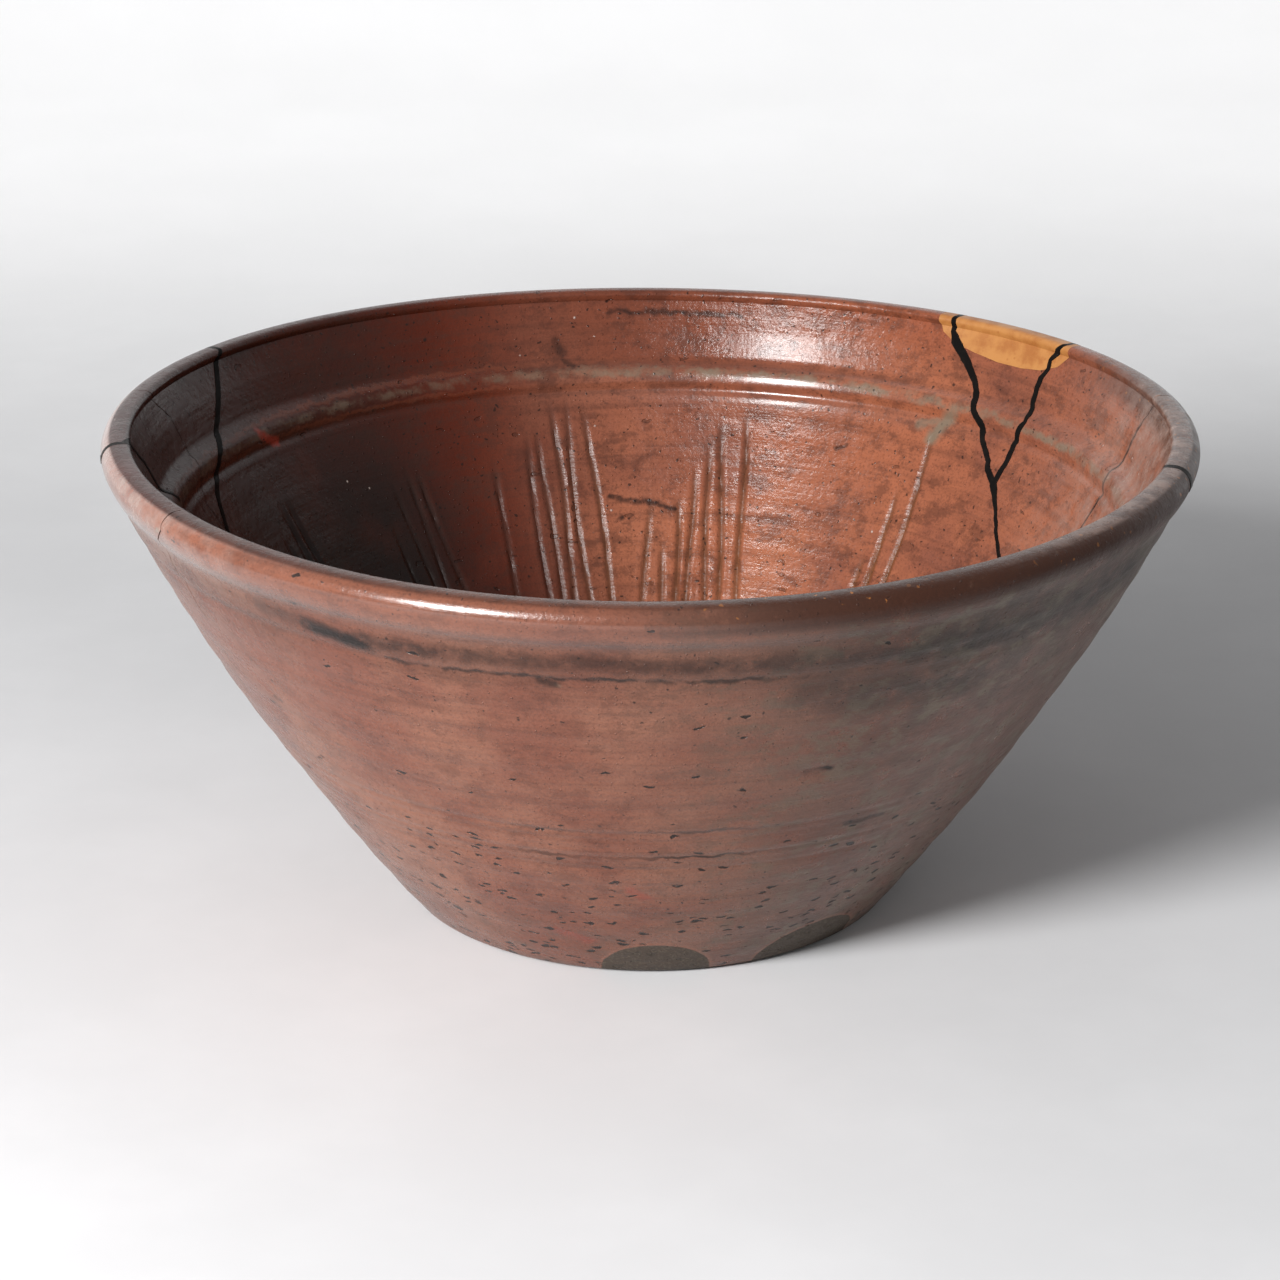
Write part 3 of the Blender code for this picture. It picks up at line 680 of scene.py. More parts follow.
def crack_stations(size, path):
    """The path in short steps, wandering a little as a break does: (azimuth, z, width)."""
    stations = []
    run = 0.0
    seed = path[0][0]
    for (azimuth, drop, width), (azimuth_to, drop_to, width_to) in zip(path, path[1:]):
        z = size.height - drop * MM
        along = math.radians(azimuth_to - azimuth) * inner_radius(size, z)
        length = math.hypot(along, (drop_to - drop) * MM / math.cos(wall_slope(size)))
        count = max(1, round(length / CRACK_STEP))
        for i in range(count):
            share = i / count
            stations.append(
                [
                    math.radians(azimuth + (azimuth_to - azimuth) * share),
                    size.height - (drop + (drop_to - drop) * share) * MM,
                    (width + (width_to - width) * share) * MM,
                    run + length * share,
                ]
            )
        run += length
    last = path[-1]
    stations.append([math.radians(last[0]), size.height - last[1] * MM, last[2] * MM, run])
    for station in stations:
        free = min(1.0, station[3] / 0.004, (run - station[3]) / 0.004)
        sway = noise.noise(Vector((station[3] * 420.0, seed, 0.0)))
        sway += 0.6 * noise.noise(Vector((station[3] * 1100.0, seed, 4.0)))
        station[0] += free * 0.00030 * sway / inner_radius(size, station[1])
        station[2] *= 1 + 0.22 * noise.noise(Vector((station[3] * 600.0, seed, 9.0)))
    return stations


def crack_sides(size, path, clearance):
    """Pairs of (azimuth, z) on either side of the crack, less a clearance."""
    stations = crack_stations(size, path)
    last = len(stations) - 1
    slope = math.cos(wall_slope(size))
    pairs = []
    for i, (azimuth, z, width, _) in enumerate(stations):
        before = stations[max(i - 2, 0)]
        after = stations[min(i + 2, last)]
        radius = inner_radius(size, z)
        along = (after[0] - before[0]) * radius
        up = (after[1] - before[1]) / slope
        length = math.hypot(along, up)
        along /= length
        up /= length
        past = {0: -1, last: 1}.get(i, 0) * (CRACK_END_REACH - clearance)
        half = width / 2 - clearance
        pairs.append(
            [
                (
                    azimuth + (past * along - sign * half * up) / radius,
                    z + (past * up + sign * half * along) * slope,
                )
                for sign in (1, -1)
            ]
        )
    return pairs


def thickened(shape, faces, thickness):
    """Extrudes flat faces to a slab of this thickness along Z."""
    far = bmesh.ops.extrude_face_region(shape, geom=faces)["geom"]
    moved = [item for item in far if isinstance(item, bmesh.types.BMVert)]
    bmesh.ops.translate(shape, verts=moved, vec=(0.0, 0.0, thickness))


def wrapped(size, name, shape, near, far, place, collection):
    """The flat slab laid on the wall by place, its Z from 0 to 1 going from near to far."""
    for vert in shape.verts:
        azimuth, z, side = vert.co
        vert.co = place(size, azimuth, z * size.rim_radius, near + (far - near) * side)
    bmesh.ops.triangulate(shape, faces=shape.faces, quad_method="SHORT_EDGE")
    bmesh.ops.recalc_face_normals(shape, faces=shape.faces)
    if shape.calc_volume(signed=True) < 0:
        bmesh.ops.reverse_faces(shape, faces=shape.faces)
    return as_object(name, shape, collection)


def crack_blade(size, name, path, clearance, collection):
    """A blade as wide as the crack that runs along its path, through the wall."""
    shape = bmesh.new()
    pairs = crack_sides(size, path, clearance)
    ends = [shape.verts.new((azimuth, z / size.rim_radius, 0.0)) for azimuth, z in pairs[0]]
    edge = shape.edges.new(ends)
    for pair in pairs[1:]:
        made = bmesh.ops.extrude_edge_only(shape, edges=[edge])["geom"]
        edge = next(item for item in made if isinstance(item, bmesh.types.BMEdge))
        grown = {}
        for vert in edge.verts:
            side = next(side for side in vert.link_edges if side != edge)
            grown[side.other_vert(vert)] = vert
        ends = [grown[vert] for vert in ends]
        for vert, (azimuth, z) in zip(ends, pair):
            vert.co = (azimuth, z / size.rim_radius, 0.0)
    thickened(shape, shape.faces[:], 1.0)
    return wrapped(size, name, shape, -CUT_INSIDE, CUT_OUTSIDE, wall_place, collection)


def chip_block(size, name, clearance, collection):
    """The flake that came off the lip: everything inside the flake surface within the outline."""
    corners = [(math.radians(a), size.height - drop * MM) for a, drop in CHIP_OUTLINE]
    middle = sum(azimuth for azimuth, _ in corners) / len(corners)
    turn = clearance / size.rim_radius
    shape = bmesh.new()
    verts = []
    for azimuth, z in corners:
        side = turn if azimuth < middle else -turn
        verts.append(shape.verts.new((azimuth + side, (z + clearance) / size.rim_radius, 0.0)))
    shape.faces.new(verts)
    for azimuth in spaced(corners[0][0], corners[-1][0], 26)[1:-1]:
        bmesh.ops.bisect_plane(
            shape,
            geom=[*shape.verts, *shape.edges, *shape.faces],
            plane_co=(azimuth, 0.0, 0.0),
            plane_no=(1.0, 0.0, 0.0),
        )
    thickened(shape, shape.faces[:], 1.0)
    return wrapped(size, name, shape, -CUT_INSIDE, -clearance, flake_place, collection)


def boolean(obj, other, operation):
    cut = obj.modifiers.new(other.name, "BOOLEAN")
    cut.operation = operation
    cut.solver = "MANIFOLD"
    cut.object = other


def settled(obj):
    """Makes the modifiers' result the object's own mesh."""
    bpy.context.view_layer.update()
    graph = bpy.context.evaluated_depsgraph_get()
    mesh = bpy.data.meshes.new_from_object(obj.evaluated_get(graph))
    obj.modifiers.clear()
    obj.data = mesh
    return obj


def loose_pieces(obj):
    """Splits the object into its loose pieces, largest first."""
    for other in bpy.context.selected_objects:
        other.select_set(False)
    obj.select_set(True)
    bpy.context.view_layer.objects.active = obj
    bpy.ops.mesh.separate(type="LOOSE")
    return sorted(bpy.context.selected_objects, key=lambda item: -len(item.data.vertices))


def azimuth_of(obj):
    middle = coordinates(obj.data).mean(axis=0)
    return math.degrees(math.atan2(middle[0], -middle[1]))


def named(pieces, names):
    """Pairs each name with the piece whose azimuth is nearest its own; the rest are removed."""
    left = list(pieces)
    for name, azimuth in names.items():
        nearest = min(left, key=lambda item: abs(azimuth_of(item) - azimuth))
        left.remove(nearest)
        yield name, nearest
    discard(left)


def workshop():
    """The collection that holds the helpers, made once."""
    found = bpy.data.collections.get(WORKSHOP)
    if found is None:
        found = bpy.data.collections.new(WORKSHOP)
        bpy.context.scene.collection.children.link(found)
    return found


def whole_bowl(size):
    """The bowl before it broke, made once."""
    found = bpy.data.objects.get(WHOLE_BOWL)
    if found is None:
        found = turned_bowl(size, workshop())
        shape_walls(size, found)
    return found


def bowl_copy(size, name, collection):
    made = bpy.data.objects.new(name, whole_bowl(size).data.copy())
    collection.objects.link(made)
    return made


def discard(objects):
    for obj in objects:
        bpy.data.objects.remove(obj, do_unlink=True)


def finished(size, obj, name, node, look):
    """Warps the piece as the rest, gives it its finish, and sets it in the node's place."""
    obj.name = name
    obj.data.name = name
    paint_clay(size, obj)
    set_coordinates(obj.data, warp(size, coordinates(obj.data)))
    obj.data.materials.clear()
    obj.data.materials.append(look)
    obj.data.shade_smooth()
    obj.data.set_sharp_from_angle(angle=math.radians(SHARP_EDGE))
    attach(obj, "root")
    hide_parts(node)


# Colour zones, painted on the points


def paint_clay(size, obj):
    """Attributes that say where ash, soot, flush and the other zones lie on the clay."""
    co = coordinates(obj.data)
    azimuth, radius, inner, _ = walls_of(size, co)
    z = co[:, 2] / MM
    inside = inner.astype(float)
    outside = 1.0 - inside
    right = smooth(-6.0, 34.0, azimuth) * smooth(168.0, 120.0, azimuth)
    ash = outside * right * (0.72 + 0.28 * smooth(60.0, 110.0, z))
    ash += outside * 0.16 * smooth(30.0, 5.0, z)
    ash = np.maximum(ash, outside * 0.5 * smooth(150.0, 175.0, np.abs(azimuth)))
    # The left of the inside is smoked dark, with painted shade added where the lip shades the wall
    # and along the band at the back; round the back it clears to orange on the right
    from_left = np.abs(turned(azimuth, -108.0))
    shade = smooth(74.0, 42.0, from_left)
    shade = np.maximum(shade, 0.56 * smooth(98.0, 68.0, from_left) * smooth(101.0, 107.0, z))
    shade *= inside
    lip = smooth(-8.0, 16.0, azimuth) * smooth(122.0, 98.0, azimuth) * smooth(117.5, 121.0, z)
    below = smooth(106.0, 72.0, z)
    front = smooth(-95.0, -40.0, azimuth) * smooth(40.0, -10.0, azimuth)
    high_left = outside * smooth(-16.0, -40.0, azimuth) * smooth(-140.0, -110.0, azimuth)
    inner_lip = inside * smooth(122.6, 124.4, z) * smooth(95.0, 60.0, np.abs(azimuth))
    # Soot and painted shade: darker on the inside left, partly for the shade there, and a band
    # under the lip bead outside as painted shadow of the bead; the lip's darker brown is the clay's
    # own
    soot_and_shade = np.maximum.reduce(
        (
            inside * smooth(52.0, 28.0, from_left) * (0.60 + 0.34 * below),
            inside * 0.55 * front,
            0.30 * outside * smooth(98.0, 106.0, z) * smooth(122.0, 116.0, z),
            0.40 * high_left * smooth(92.0, 110.0, z) * smooth(122.0, 117.0, z),
            0.35 * lip * (outside + 0.2 * inside),
            0.55 * inner_lip,
            0.30 * outside * smooth(116.0, 120.0, z) * smooth(-70.0, -30.0, azimuth),
        )
    )
    # Glossy on the lip at the front left, and on the band and ridge at the rear
    wet = outside * smooth(112.0, 119.0, z)
    wet *= smooth(-112.0, -86.0, azimuth) * smooth(26.0, -2.0, azimuth)
    rear = smooth(40.0, 16.0, np.abs(turned(azimuth, 160.0)))
    band = 0.90 - 0.74 * smooth(105.5, 107.5, z)
    wet = np.maximum(wet, band * inside * rear * smooth(94.0, 98.0, z) * smooth(117.0, 112.0, z))
    flush = inside * smooth(60.0, 110.0, azimuth) * (1 - smooth(172.0, 180.0, azimuth) * 0.4)
    flush = np.maximum(flush, inside * 0.6 * smooth(-160.0, -176.0, azimuth))
    flush = np.maximum(flush, 0.60 * smooth(116.0, 120.0, z) * (1 - lip) * (1 - shade))
    # Painted sheen: pale on the outer left, most towards the lip, and on the inner right
    sheen = outside * smooth(-30.0, -76.0, azimuth) * smooth(-150.0, -120.0, azimuth)
    sheen *= 0.32 + 0.68 * smooth(104.0, 122.0, z)
    sheen += inside * 0.75 * smooth(120.0, 90.0, azimuth) * smooth(30.0, 60.0, azimuth)
    # Painted light: brighter low on the right inside, and fainter up the right wall
    past_right = np.maximum(smooth(58.0, 90.0, azimuth), smooth(-160.0, -176.0, azimuth))
    glow = inside * smooth(104.0, 60.0, z) * past_right
    glow *= 1.0 - 0.45 * smooth(158.0, 172.0, np.abs(azimuth))
    to_right = smooth(170.0, 146.0, azimuth) * smooth(60.0, 96.0, azimuth)
    glow = np.maximum(glow, 0.55 * inside * to_right * smooth(122.0, 108.0, z))
    lines = outside * smooth(-22.0, -12.0, azimuth) * smooth(34.0, 14.0, azimuth)
    lines *= 0.6 + 0.4 * np.sin(np.radians(azimuth * 14.0))
    comb = np.zeros_like(z)
    walls = inner & (co[:, 2] < size.height - size.ridge_drop)
    bite = comb_relief(size, azimuth[walls], co[walls, 2], radius[walls]) / size.comb_depth
    comb[walls] = np.sqrt(np.clip(bite, 0.0, 1.0))
    arcs = [1 - np.hypot(turned(azimuth, at) / half, z / top) for at, half, top in BARE_ARCS]
    bare = np.clip(np.maximum(*arcs) * 2.0 + 0.5, 0.0, 1.0) * outside
    # The hairlines on the right have dark edges inside
    stain = np.zeros_like(z)
    for path in STAINED_HAIRLINES:
        drops = [corner[1] for corner in path]
        drop = size.height / MM - z
        line = np.interp(drop, drops, [corner[0] for corner in path])
        across = np.abs(np.radians(turned(azimuth, line))) * radius / MM
        near = smooth(1.0, 0.7, across) * (drop > drops[0]) * (drop < drops[-1])
        stain = np.maximum(stain, near * inside)
    layers = dict(ash=ash, stain=stain, soot_and_shade=soot_and_shade, shade=shade, flush=flush, bare=bare, lip=lip)
    layers.update(sheen=sheen, glow=glow, wet=wet, lines=lines, comb=comb, inside=inside)
    for name, value in layers.items():
        layer = obj.data.attributes.new(name, "FLOAT", "POINT")
        layer.data.foreach_set("value", np.clip(value, 0.0, 1.0).astype(np.float32))


# Finishes


def put(tree, kind, inputs=None, **settings):
    """Adds a node, with each input given as a value or as the socket that feeds it."""
    made = tree.nodes.new(kind)
    for key, value in settings.items():
        setattr(made, key, value)
    for key, value in (inputs or {}).items():
        if isinstance(value, bpy.types.NodeSocket):
            tree.links.new(value, made.inputs[key])
        else:
            made.inputs[key].default_value = value
    return made


def calc(tree, operation, first, second=0.0, clamp=False):
    made = put(tree, "ShaderNodeMath", {0: first, 1: second}, operation=operation)
    made.use_clamp = clamp
    return made.outputs[0]


def graded(tree, value, rise, start):
    """From start where value is 0, rising by rise where it is 1."""
    made = put(tree, "ShaderNodeMath", {0: value, 1: rise, 2: start}, operation="MULTIPLY_ADD")
    return made.outputs[0]


def mixed(tree, share, first, second):
    """Colour first turning to second as share grows."""
    made = put(tree, "ShaderNodeMix", {0: share, 6: first, 7: second}, data_type="RGBA")
    return made.outputs[2]


def eased(tree, value, low, high, top=1.0):
    """0 below low, top above high."""
    made = put(
        tree,
        "ShaderNodeMapRange",
        {"Value": value, "From Min": low, "From Max": high, "To Min": 0.0, "To Max": top},
        interpolation_type="SMOOTHSTEP",
    )
    return made.outputs[0]


def noise_of(tree, vector, scale, detail=3.0, roughness=0.55):
    made = put(
        tree,
        "ShaderNodeTexNoise",
        {"Vector": vector, "Scale": scale, "Detail": detail, "Roughness": roughness},
    )
    return made.outputs["Fac"]


def new_group(name, inputs, outputs):
    """A shader node group with (kind, name, default) inputs and (kind, name) outputs."""
    tree = bpy.data.node_groups.new(name, "ShaderNodeTree")
    for kind, label, default in inputs:
        socket = tree.interface.new_socket(label, in_out="INPUT", socket_type=kind)
        if default is not None:
            socket.default_value = default
    for kind, label in outputs:
        tree.interface.new_socket(label, in_out="OUTPUT", socket_type=kind)
    return tree, tree.nodes.new("NodeGroupInput").outputs, tree.nodes.new("NodeGroupOutput").inputs


def stroke_group():
    """A soft-edged stroke between two points: 1 on its line, 0 away from it."""
    found = bpy.data.node_groups.get("clay_stroke")
    if found:
        return found
    tree, given, result = new_group(
        "clay_stroke",
        (
            ("NodeSocketVector", "Place", None),
            ("NodeSocketVector", "From", None),
            ("NodeSocketVector", "To", None),
            ("NodeSocketFloat", "Half Width", 0.001),
            ("NodeSocketFloat", "Strength", 1.0),
        ),
        (("NodeSocketFloat", "Mask"),),
    )

    def vector(operation, first, second):
        return put(tree, "ShaderNodeVectorMath", {0: first, 1: second}, operation=operation)

    reach = vector("SUBTRACT", given["To"], given["From"]).outputs[0]
    offset = vector("SUBTRACT", given["Place"], given["From"]).outputs[0]
    along = calc(
        tree,
        "DIVIDE",
        vector("DOT_PRODUCT", offset, reach).outputs["Value"],
        vector("DOT_PRODUCT", reach, reach).outputs["Value"],
        clamp=True,
    )
    nearest = put(
        tree, "ShaderNodeVectorMath", {0: reach, "Scale": along}, operation="SCALE"
    ).outputs[0]
    away = vector("DISTANCE", offset, nearest).outputs["Value"]
    share = calc(tree, "DIVIDE", away, given["Half Width"])
    mask = eased(tree, share, 1.7, 0.3)
    tree.links.new(calc(tree, "MULTIPLY", mask, given["Strength"]), result["Mask"])
    return tree


def speckle_group():
    """Small spots scattered over the surface, some cells left empty."""
    found = bpy.data.node_groups.get("clay_speckle")
    if found:
        return found
    tree, given, result = new_group(
        "clay_speckle",
        (
            ("NodeSocketVector", "Place", None),
            ("NodeSocketFloat", "Scale", 300.0),
            ("NodeSocketFloat", "Size", 0.2),
            ("NodeSocketFloat", "Share", 0.3),
        ),
        (("NodeSocketFloat", "Mask"),),
    )
    cells = put(
        tree, "ShaderNodeTexVoronoi", {"Vector": given["Place"], "Scale": given["Scale"]}
    )
    near = calc(tree, "SUBTRACT", given["Size"], cells.outputs["Distance"])
    spot = eased(tree, near, 0.0, 0.09)
    pick = put(tree, "ShaderNodeSeparateColor", {"Color": cells.outputs["Color"]}).outputs[0]
    kept = calc(tree, "LESS_THAN", pick, given["Share"])
    tree.links.new(calc(tree, "MULTIPLY", spot, kept), result["Mask"])
    return tree


def wheel_group():
    """Horizontal streaks that a turned wall keeps, and the broad clouds over them."""
    found = bpy.data.node_groups.get("wheel_marks")
    if found:
        return found
    tree, given, result = new_group(
        "wheel_marks",
        (
            ("NodeSocketVector", "Place", None),
            ("NodeSocketFloat", "Fineness", 400.0),
        ),
        (
            ("NodeSocketFloat", "Streaks"),
            ("NodeSocketFloat", "Clouds"),
            ("NodeSocketFloat", "Mottle"),
            ("NodeSocketFloat", "Grain"),
            ("NodeSocketFloat", "Blotches"),
            ("NodeSocketFloat", "Skin"),
        ),
    )
    split = put(tree, "ShaderNodeSeparateXYZ", {0: given["Place"]}).outputs
    sunk = put(
        tree,
        "ShaderNodeCombineXYZ",
        {
            0: calc(tree, "MULTIPLY", split[0], 14.0),
            1: calc(tree, "MULTIPLY", split[1], 14.0),
            2: calc(tree, "MULTIPLY", split[2], given["Fineness"]),
        },
    ).outputs[0]
    tree.links.new(noise_of(tree, sunk, 1.0, 5.0, 0.62), result["Streaks"])
    tree.links.new(noise_of(tree, given["Place"], 26.0, 4.0, 0.6), result["Clouds"])
    tree.links.new(noise_of(tree, given["Place"], 150.0, 6.0, 0.65), result["Mottle"])
    tree.links.new(noise_of(tree, given["Place"], 1500.0, 3.0, 0.6), result["Grain"])
    flat = put(
        tree, "ShaderNodeVectorMath", {0: given["Place"], 1: (1.0, 1.0, 1.5)}, operation="MULTIPLY"
    ).outputs[0]
    tree.links.new(noise_of(tree, flat, 120.0, 8.0, 0.74), result["Blotches"])
    tree.links.new(noise_of(tree, given["Place"], 520.0, 4.0, 0.6), result["Skin"])
    return tree


def grouped(tree, group, inputs):
    return put(tree, "ShaderNodeGroup", inputs, node_tree=group).outputs


def spots(tree, place, scale, size, share):
    given = {"Place": place, "Scale": scale, "Size": size, "Share": share}
    return grouped(tree, speckle_group(), given)["Mask"]


def layer(tree, name):
    """A layer painted on the points."""
    return put(tree, "ShaderNodeAttribute", attribute_name=name).outputs["Fac"]


def mark_end(size, wall, azimuth, height):
    """A point on one of the walls, warped as the pieces are."""
    z = height * MM
    radius = (inner_radius if wall == "inner" else outer_radius)(size, z)
    turn = math.radians(azimuth)
    point = np.array([[radius * math.sin(turn), -radius * math.cos(turn), z]])
    return tuple(warp(size, point)[0])


def marks_of(tree, size, place, marks):
    """The strongest of the marks at each place."""
    total = None
    for wall, azimuth, height, azimuth_to, height_to, half_width, strength in marks:
        mask = grouped(
            tree,
            stroke_group(),
            {
                "Place": place,
                "From": mark_end(size, wall, azimuth, height),
                "To": mark_end(size, wall, azimuth_to, height_to),
                "Half Width": half_width * MM,
                "Strength": strength,
            },
        )["Mask"]
        total = mask if total is None else calc(tree, "MAXIMUM", total, mask)
    return total


def new_material(name):
    made = bpy.data.materials.new(name)
    made.use_nodes = True
    tree = made.node_tree
    shader = tree.nodes["Principled BSDF"]
    place = put(tree, "ShaderNodeTexCoord").outputs["Object"]
    return made, tree, shader, place


def full(rgb):
    return (*rgb, 1.0)


def clay_finish(size, colours):
    """Fired stoneware: wheel streaks, ash, soot and flush zones, painted shade, light, sheen and
    glints, specks, pits and small marks.
    """
    found = bpy.data.materials.get("fired_clay")
    if found:
        return found
    made, tree, shader, place = new_material("fired_clay")
    wheel = grouped(tree, wheel_group(), {"Place": place, "Fineness": 420.0})
    shake = put(
        tree, "ShaderNodeTexNoise", {"Vector": place, "Scale": 260.0, "Detail": 3.0}
    ).outputs["Color"]
    shake = put(
        tree, "ShaderNodeVectorMath", {0: shake, 1: (0.5, 0.5, 0.5)}, operation="SUBTRACT"
    ).outputs[0]
    shake = put(
        tree, "ShaderNodeVectorMath", {0: shake, "Scale": 0.0035}, operation="SCALE"
    ).outputs[0]
    both = {0: place, 1: shake}
    rough_place = put(tree, "ShaderNodeVectorMath", both, operation="ADD").outputs[0]

    base = mixed(
        tree, eased(tree, wheel["Clouds"], 0.36, 0.66), full(colours.body), full(colours.body_pale)
    )
    flush = calc(tree, "MULTIPLY", layer(tree, "flush"), eased(tree, wheel["Clouds"], 0.2, 0.6))
    base = mixed(tree, flush, base, full(colours.flush))
    # Painted light low on the right inside
    glow = calc(tree, "MULTIPLY", layer(tree, "glow"), eased(tree, wheel["Clouds"], 0.30, 0.60))
    base = mixed(tree, glow, base, full(colours.glow))
    # Smoked clay, and painted shade where the lip shades the inside and along the band at the back
    shaded = calc(tree, "MULTIPLY", layer(tree, "shade"), eased(tree, wheel["Clouds"], -0.2, 0.5))
    base = mixed(tree, shaded, base, full(colours.smoked_and_shaded_wall))
    inside = layer(tree, "inside")
    streak_share = graded(tree, inside, 0.06, 0.30)
    streaks = calc(tree, "MULTIPLY", eased(tree, wheel["Streaks"], 0.46, 0.72), streak_share)
    base = mixed(tree, streaks, base, full(colours.streak))
    blotch = eased(tree, wheel["Blotches"], 0.48, 0.61, 0.62)
    blotch_share = graded(tree, inside, 0.32, 0.48)
    blotch = calc(tree, "MULTIPLY", blotch, blotch_share)
    base = mixed(tree, blotch, base, full(colours.streak))
    comb = layer(tree, "comb")
    base = mixed(tree, calc(tree, "MULTIPLY", comb, 0.82), base, full(colours.streak))
    # Amber low in the comb grooves on the right, partly painted highlight
    comb_amber_and_highlight = calc(tree, "MULTIPLY", comb, calc(tree, "MULTIPLY", layer(tree, "glow"), 0.30))
    base = mixed(tree, comb_amber_and_highlight, base, full(colours.amber))
    base = mixed(tree, eased(tree, wheel["Grain"], 0.46, 0.74, 0.42), base, full(colours.streak))
    ash_break = calc(tree, "ADD", wheel["Mottle"], calc(tree, "MULTIPLY", wheel["Clouds"], 0.6))
    ash = calc(tree, "MULTIPLY", layer(tree, "ash"), eased(tree, ash_break, 0.25, 1.05))
    base = mixed(tree, ash, base, full(colours.ash))
    pale = calc(
        tree, "MULTIPLY", layer(tree, "ash"), eased(tree, wheel["Blotches"], 0.49, 0.60, 0.66)
    )
    base = mixed(tree, pale, base, full(colours.ash_grey))
    # Soot, and painted shade on the inside left and under the lip bead
    soot_and_shade_share = calc(
        tree, "MULTIPLY", layer(tree, "soot_and_shade"), eased(tree, wheel["Clouds"], 0.05, 0.55)
    )
    base = mixed(tree, soot_and_shade_share, base, full(colours.soot_and_shade))

    # Ash lies on the inner ridge, between two orange lines that are partly the clay's flush and
    # partly painted highlight
    height = put(tree, "ShaderNodeSeparateXYZ", {0: rough_place}).outputs[2]
    over = calc(tree, "SUBTRACT", height, size.height - size.ridge_drop)
    ridge_top = calc(tree, "ABSOLUTE", calc(tree, "SUBTRACT", over, -0.0004))
    ridge_ash = calc(tree, "MULTIPLY", eased(tree, ridge_top, 0.0017, 0.0004, 0.75), inside)
    ridge_ash = calc(tree, "MULTIPLY", ridge_ash, eased(tree, wheel["Mottle"], 0.34, 0.62))
    ridge_share = graded(tree, layer(tree, "flush"), 0.55, 0.45)
    ridge_ash = calc(tree, "MULTIPLY", ridge_ash, ridge_share)
    edge = calc(tree, "ABSOLUTE", calc(tree, "SUBTRACT", ridge_top, 0.0024))
    edge_lines_and_highlight = calc(tree, "MULTIPLY", eased(tree, edge, 0.0008, 0.0002, 0.14), inside)
    base = mixed(tree, ridge_ash, base, full(colours.ash_grey))
    base = mixed(tree, edge_lines_and_highlight, base, full(colours.flush))

    base = mixed(tree, marks_of(tree, size, rough_place, ASH_MARKS), base, full(colours.ash_grey))
    base = mixed(tree, marks_of(tree, size, rough_place, RED_MARKS), base, full(colours.red))
    # Dark marks, and painted shadow under the lip bead
    soot_and_shadow_marks = marks_of(tree, size, rough_place, SOOT_AND_SHADOW_MARKS)
    soot_and_shadow_marks = calc(tree, "MULTIPLY", soot_and_shadow_marks, eased(tree, wheel["Mottle"], 0.22, 0.56))
    base = mixed(tree, soot_and_shadow_marks, base, full(colours.soot_and_shade))
    stain = eased(tree, layer(tree, "stain"), 0.66, 0.94, 0.85)
    base = mixed(tree, stain, base, full(colours.soot_and_shade))

    # Thin dark lines that follow the wheel low on the outside
    for line_height, strength in WHEEL_LINES:
        line = calc(tree, "ABSOLUTE", calc(tree, "SUBTRACT", height, line_height))
        line = eased(tree, line, 0.0007, 0.0002, strength)
        line = calc(tree, "MULTIPLY", line, layer(tree, "lines"))
        base = mixed(tree, line, base, full(colours.soot_and_shade))

    speck_share = graded(tree, inside, 0.34, 0.08)
    specks = spots(tree, rough_place, 500.0, 0.22, speck_share)
    base = mixed(tree, calc(tree, "MULTIPLY", specks, 0.75), base, full(colours.soot_and_shade))
    grains = spots(tree, place, 760.0, 0.26, 0.22)
    flat = put(
        tree, "ShaderNodeVectorMath", {0: rough_place, 1: (0.60, 0.60, 1.8)}, operation="MULTIPLY"
    ).outputs[0]
    toward_foot = eased(tree, height, 0.066, 0.012, 0.75)
    pit_share = calc(tree, "ADD", toward_foot, 0.03)
    pits = spots(tree, flat, 310.0, 0.28, pit_share)
    pit_dark = graded(tree, inside, -0.55, 0.95)
    base = mixed(tree, calc(tree, "MULTIPLY", pits, pit_dark), base, full(colours.soot_and_shade))
    on_lip = layer(tree, "lip")
    lip_brown = calc(tree, "MULTIPLY", on_lip, eased(tree, wheel["Mottle"], 0.16, 0.42, 0.96))
    base = mixed(tree, lip_brown, base, full(colours.dark_lip))
    flecks = spots(tree, rough_place, 520.0, 0.28, 0.30)
    flecks = calc(tree, "MULTIPLY", flecks, on_lip)
    flecks = calc(tree, "MULTIPLY", flecks, eased(tree, height, 0.1205, 0.1228))
    flecks = calc(tree, "MULTIPLY", flecks, eased(tree, wheel["Clouds"], 0.42, 0.56))
    base = mixed(tree, calc(tree, "MULTIPLY", flecks, 0.75), base, full(colours.amber))
    # Painted sheen on the outer left and the inner right
    sheen = calc(tree, "MULTIPLY", layer(tree, "sheen"), eased(tree, wheel["Mottle"], 0.3, 0.7))
    base = mixed(tree, sheen, base, full(colours.sheen))
    # Glassy beads of ash inside: raised in the bump and glossier, with pale dots of painted glint
    beads_and_glints = spots(tree, place, 190.0, 0.10, 0.13)
    beads_and_glints = calc(tree, "MULTIPLY", beads_and_glints, inside)
    base = mixed(tree, calc(tree, "MULTIPLY", beads_and_glints, 0.8), base, full(colours.painted_glint))

    mottle = calc(tree, "MULTIPLY", wheel["Mottle"], 0.16)
    rough_bare = calc(tree, "ADD", layer(tree, "bare"), mottle)
    halo = eased(tree, rough_bare, 0.36, 0.54, 0.50)
    base = mixed(tree, halo, base, full(colours.body_pale))
    bare = eased(tree, rough_bare, 0.53, 0.60, 0.92)
    base = mixed(tree, bare, base, full(colours.bare))
    sandy = calc(tree, "MULTIPLY", bare, eased(tree, wheel["Grain"], 0.50, 0.66, 0.45))
    base = mixed(tree, sandy, base, full(colours.ash_grey))
    tree.links.new(base, shader.inputs["Base Color"])

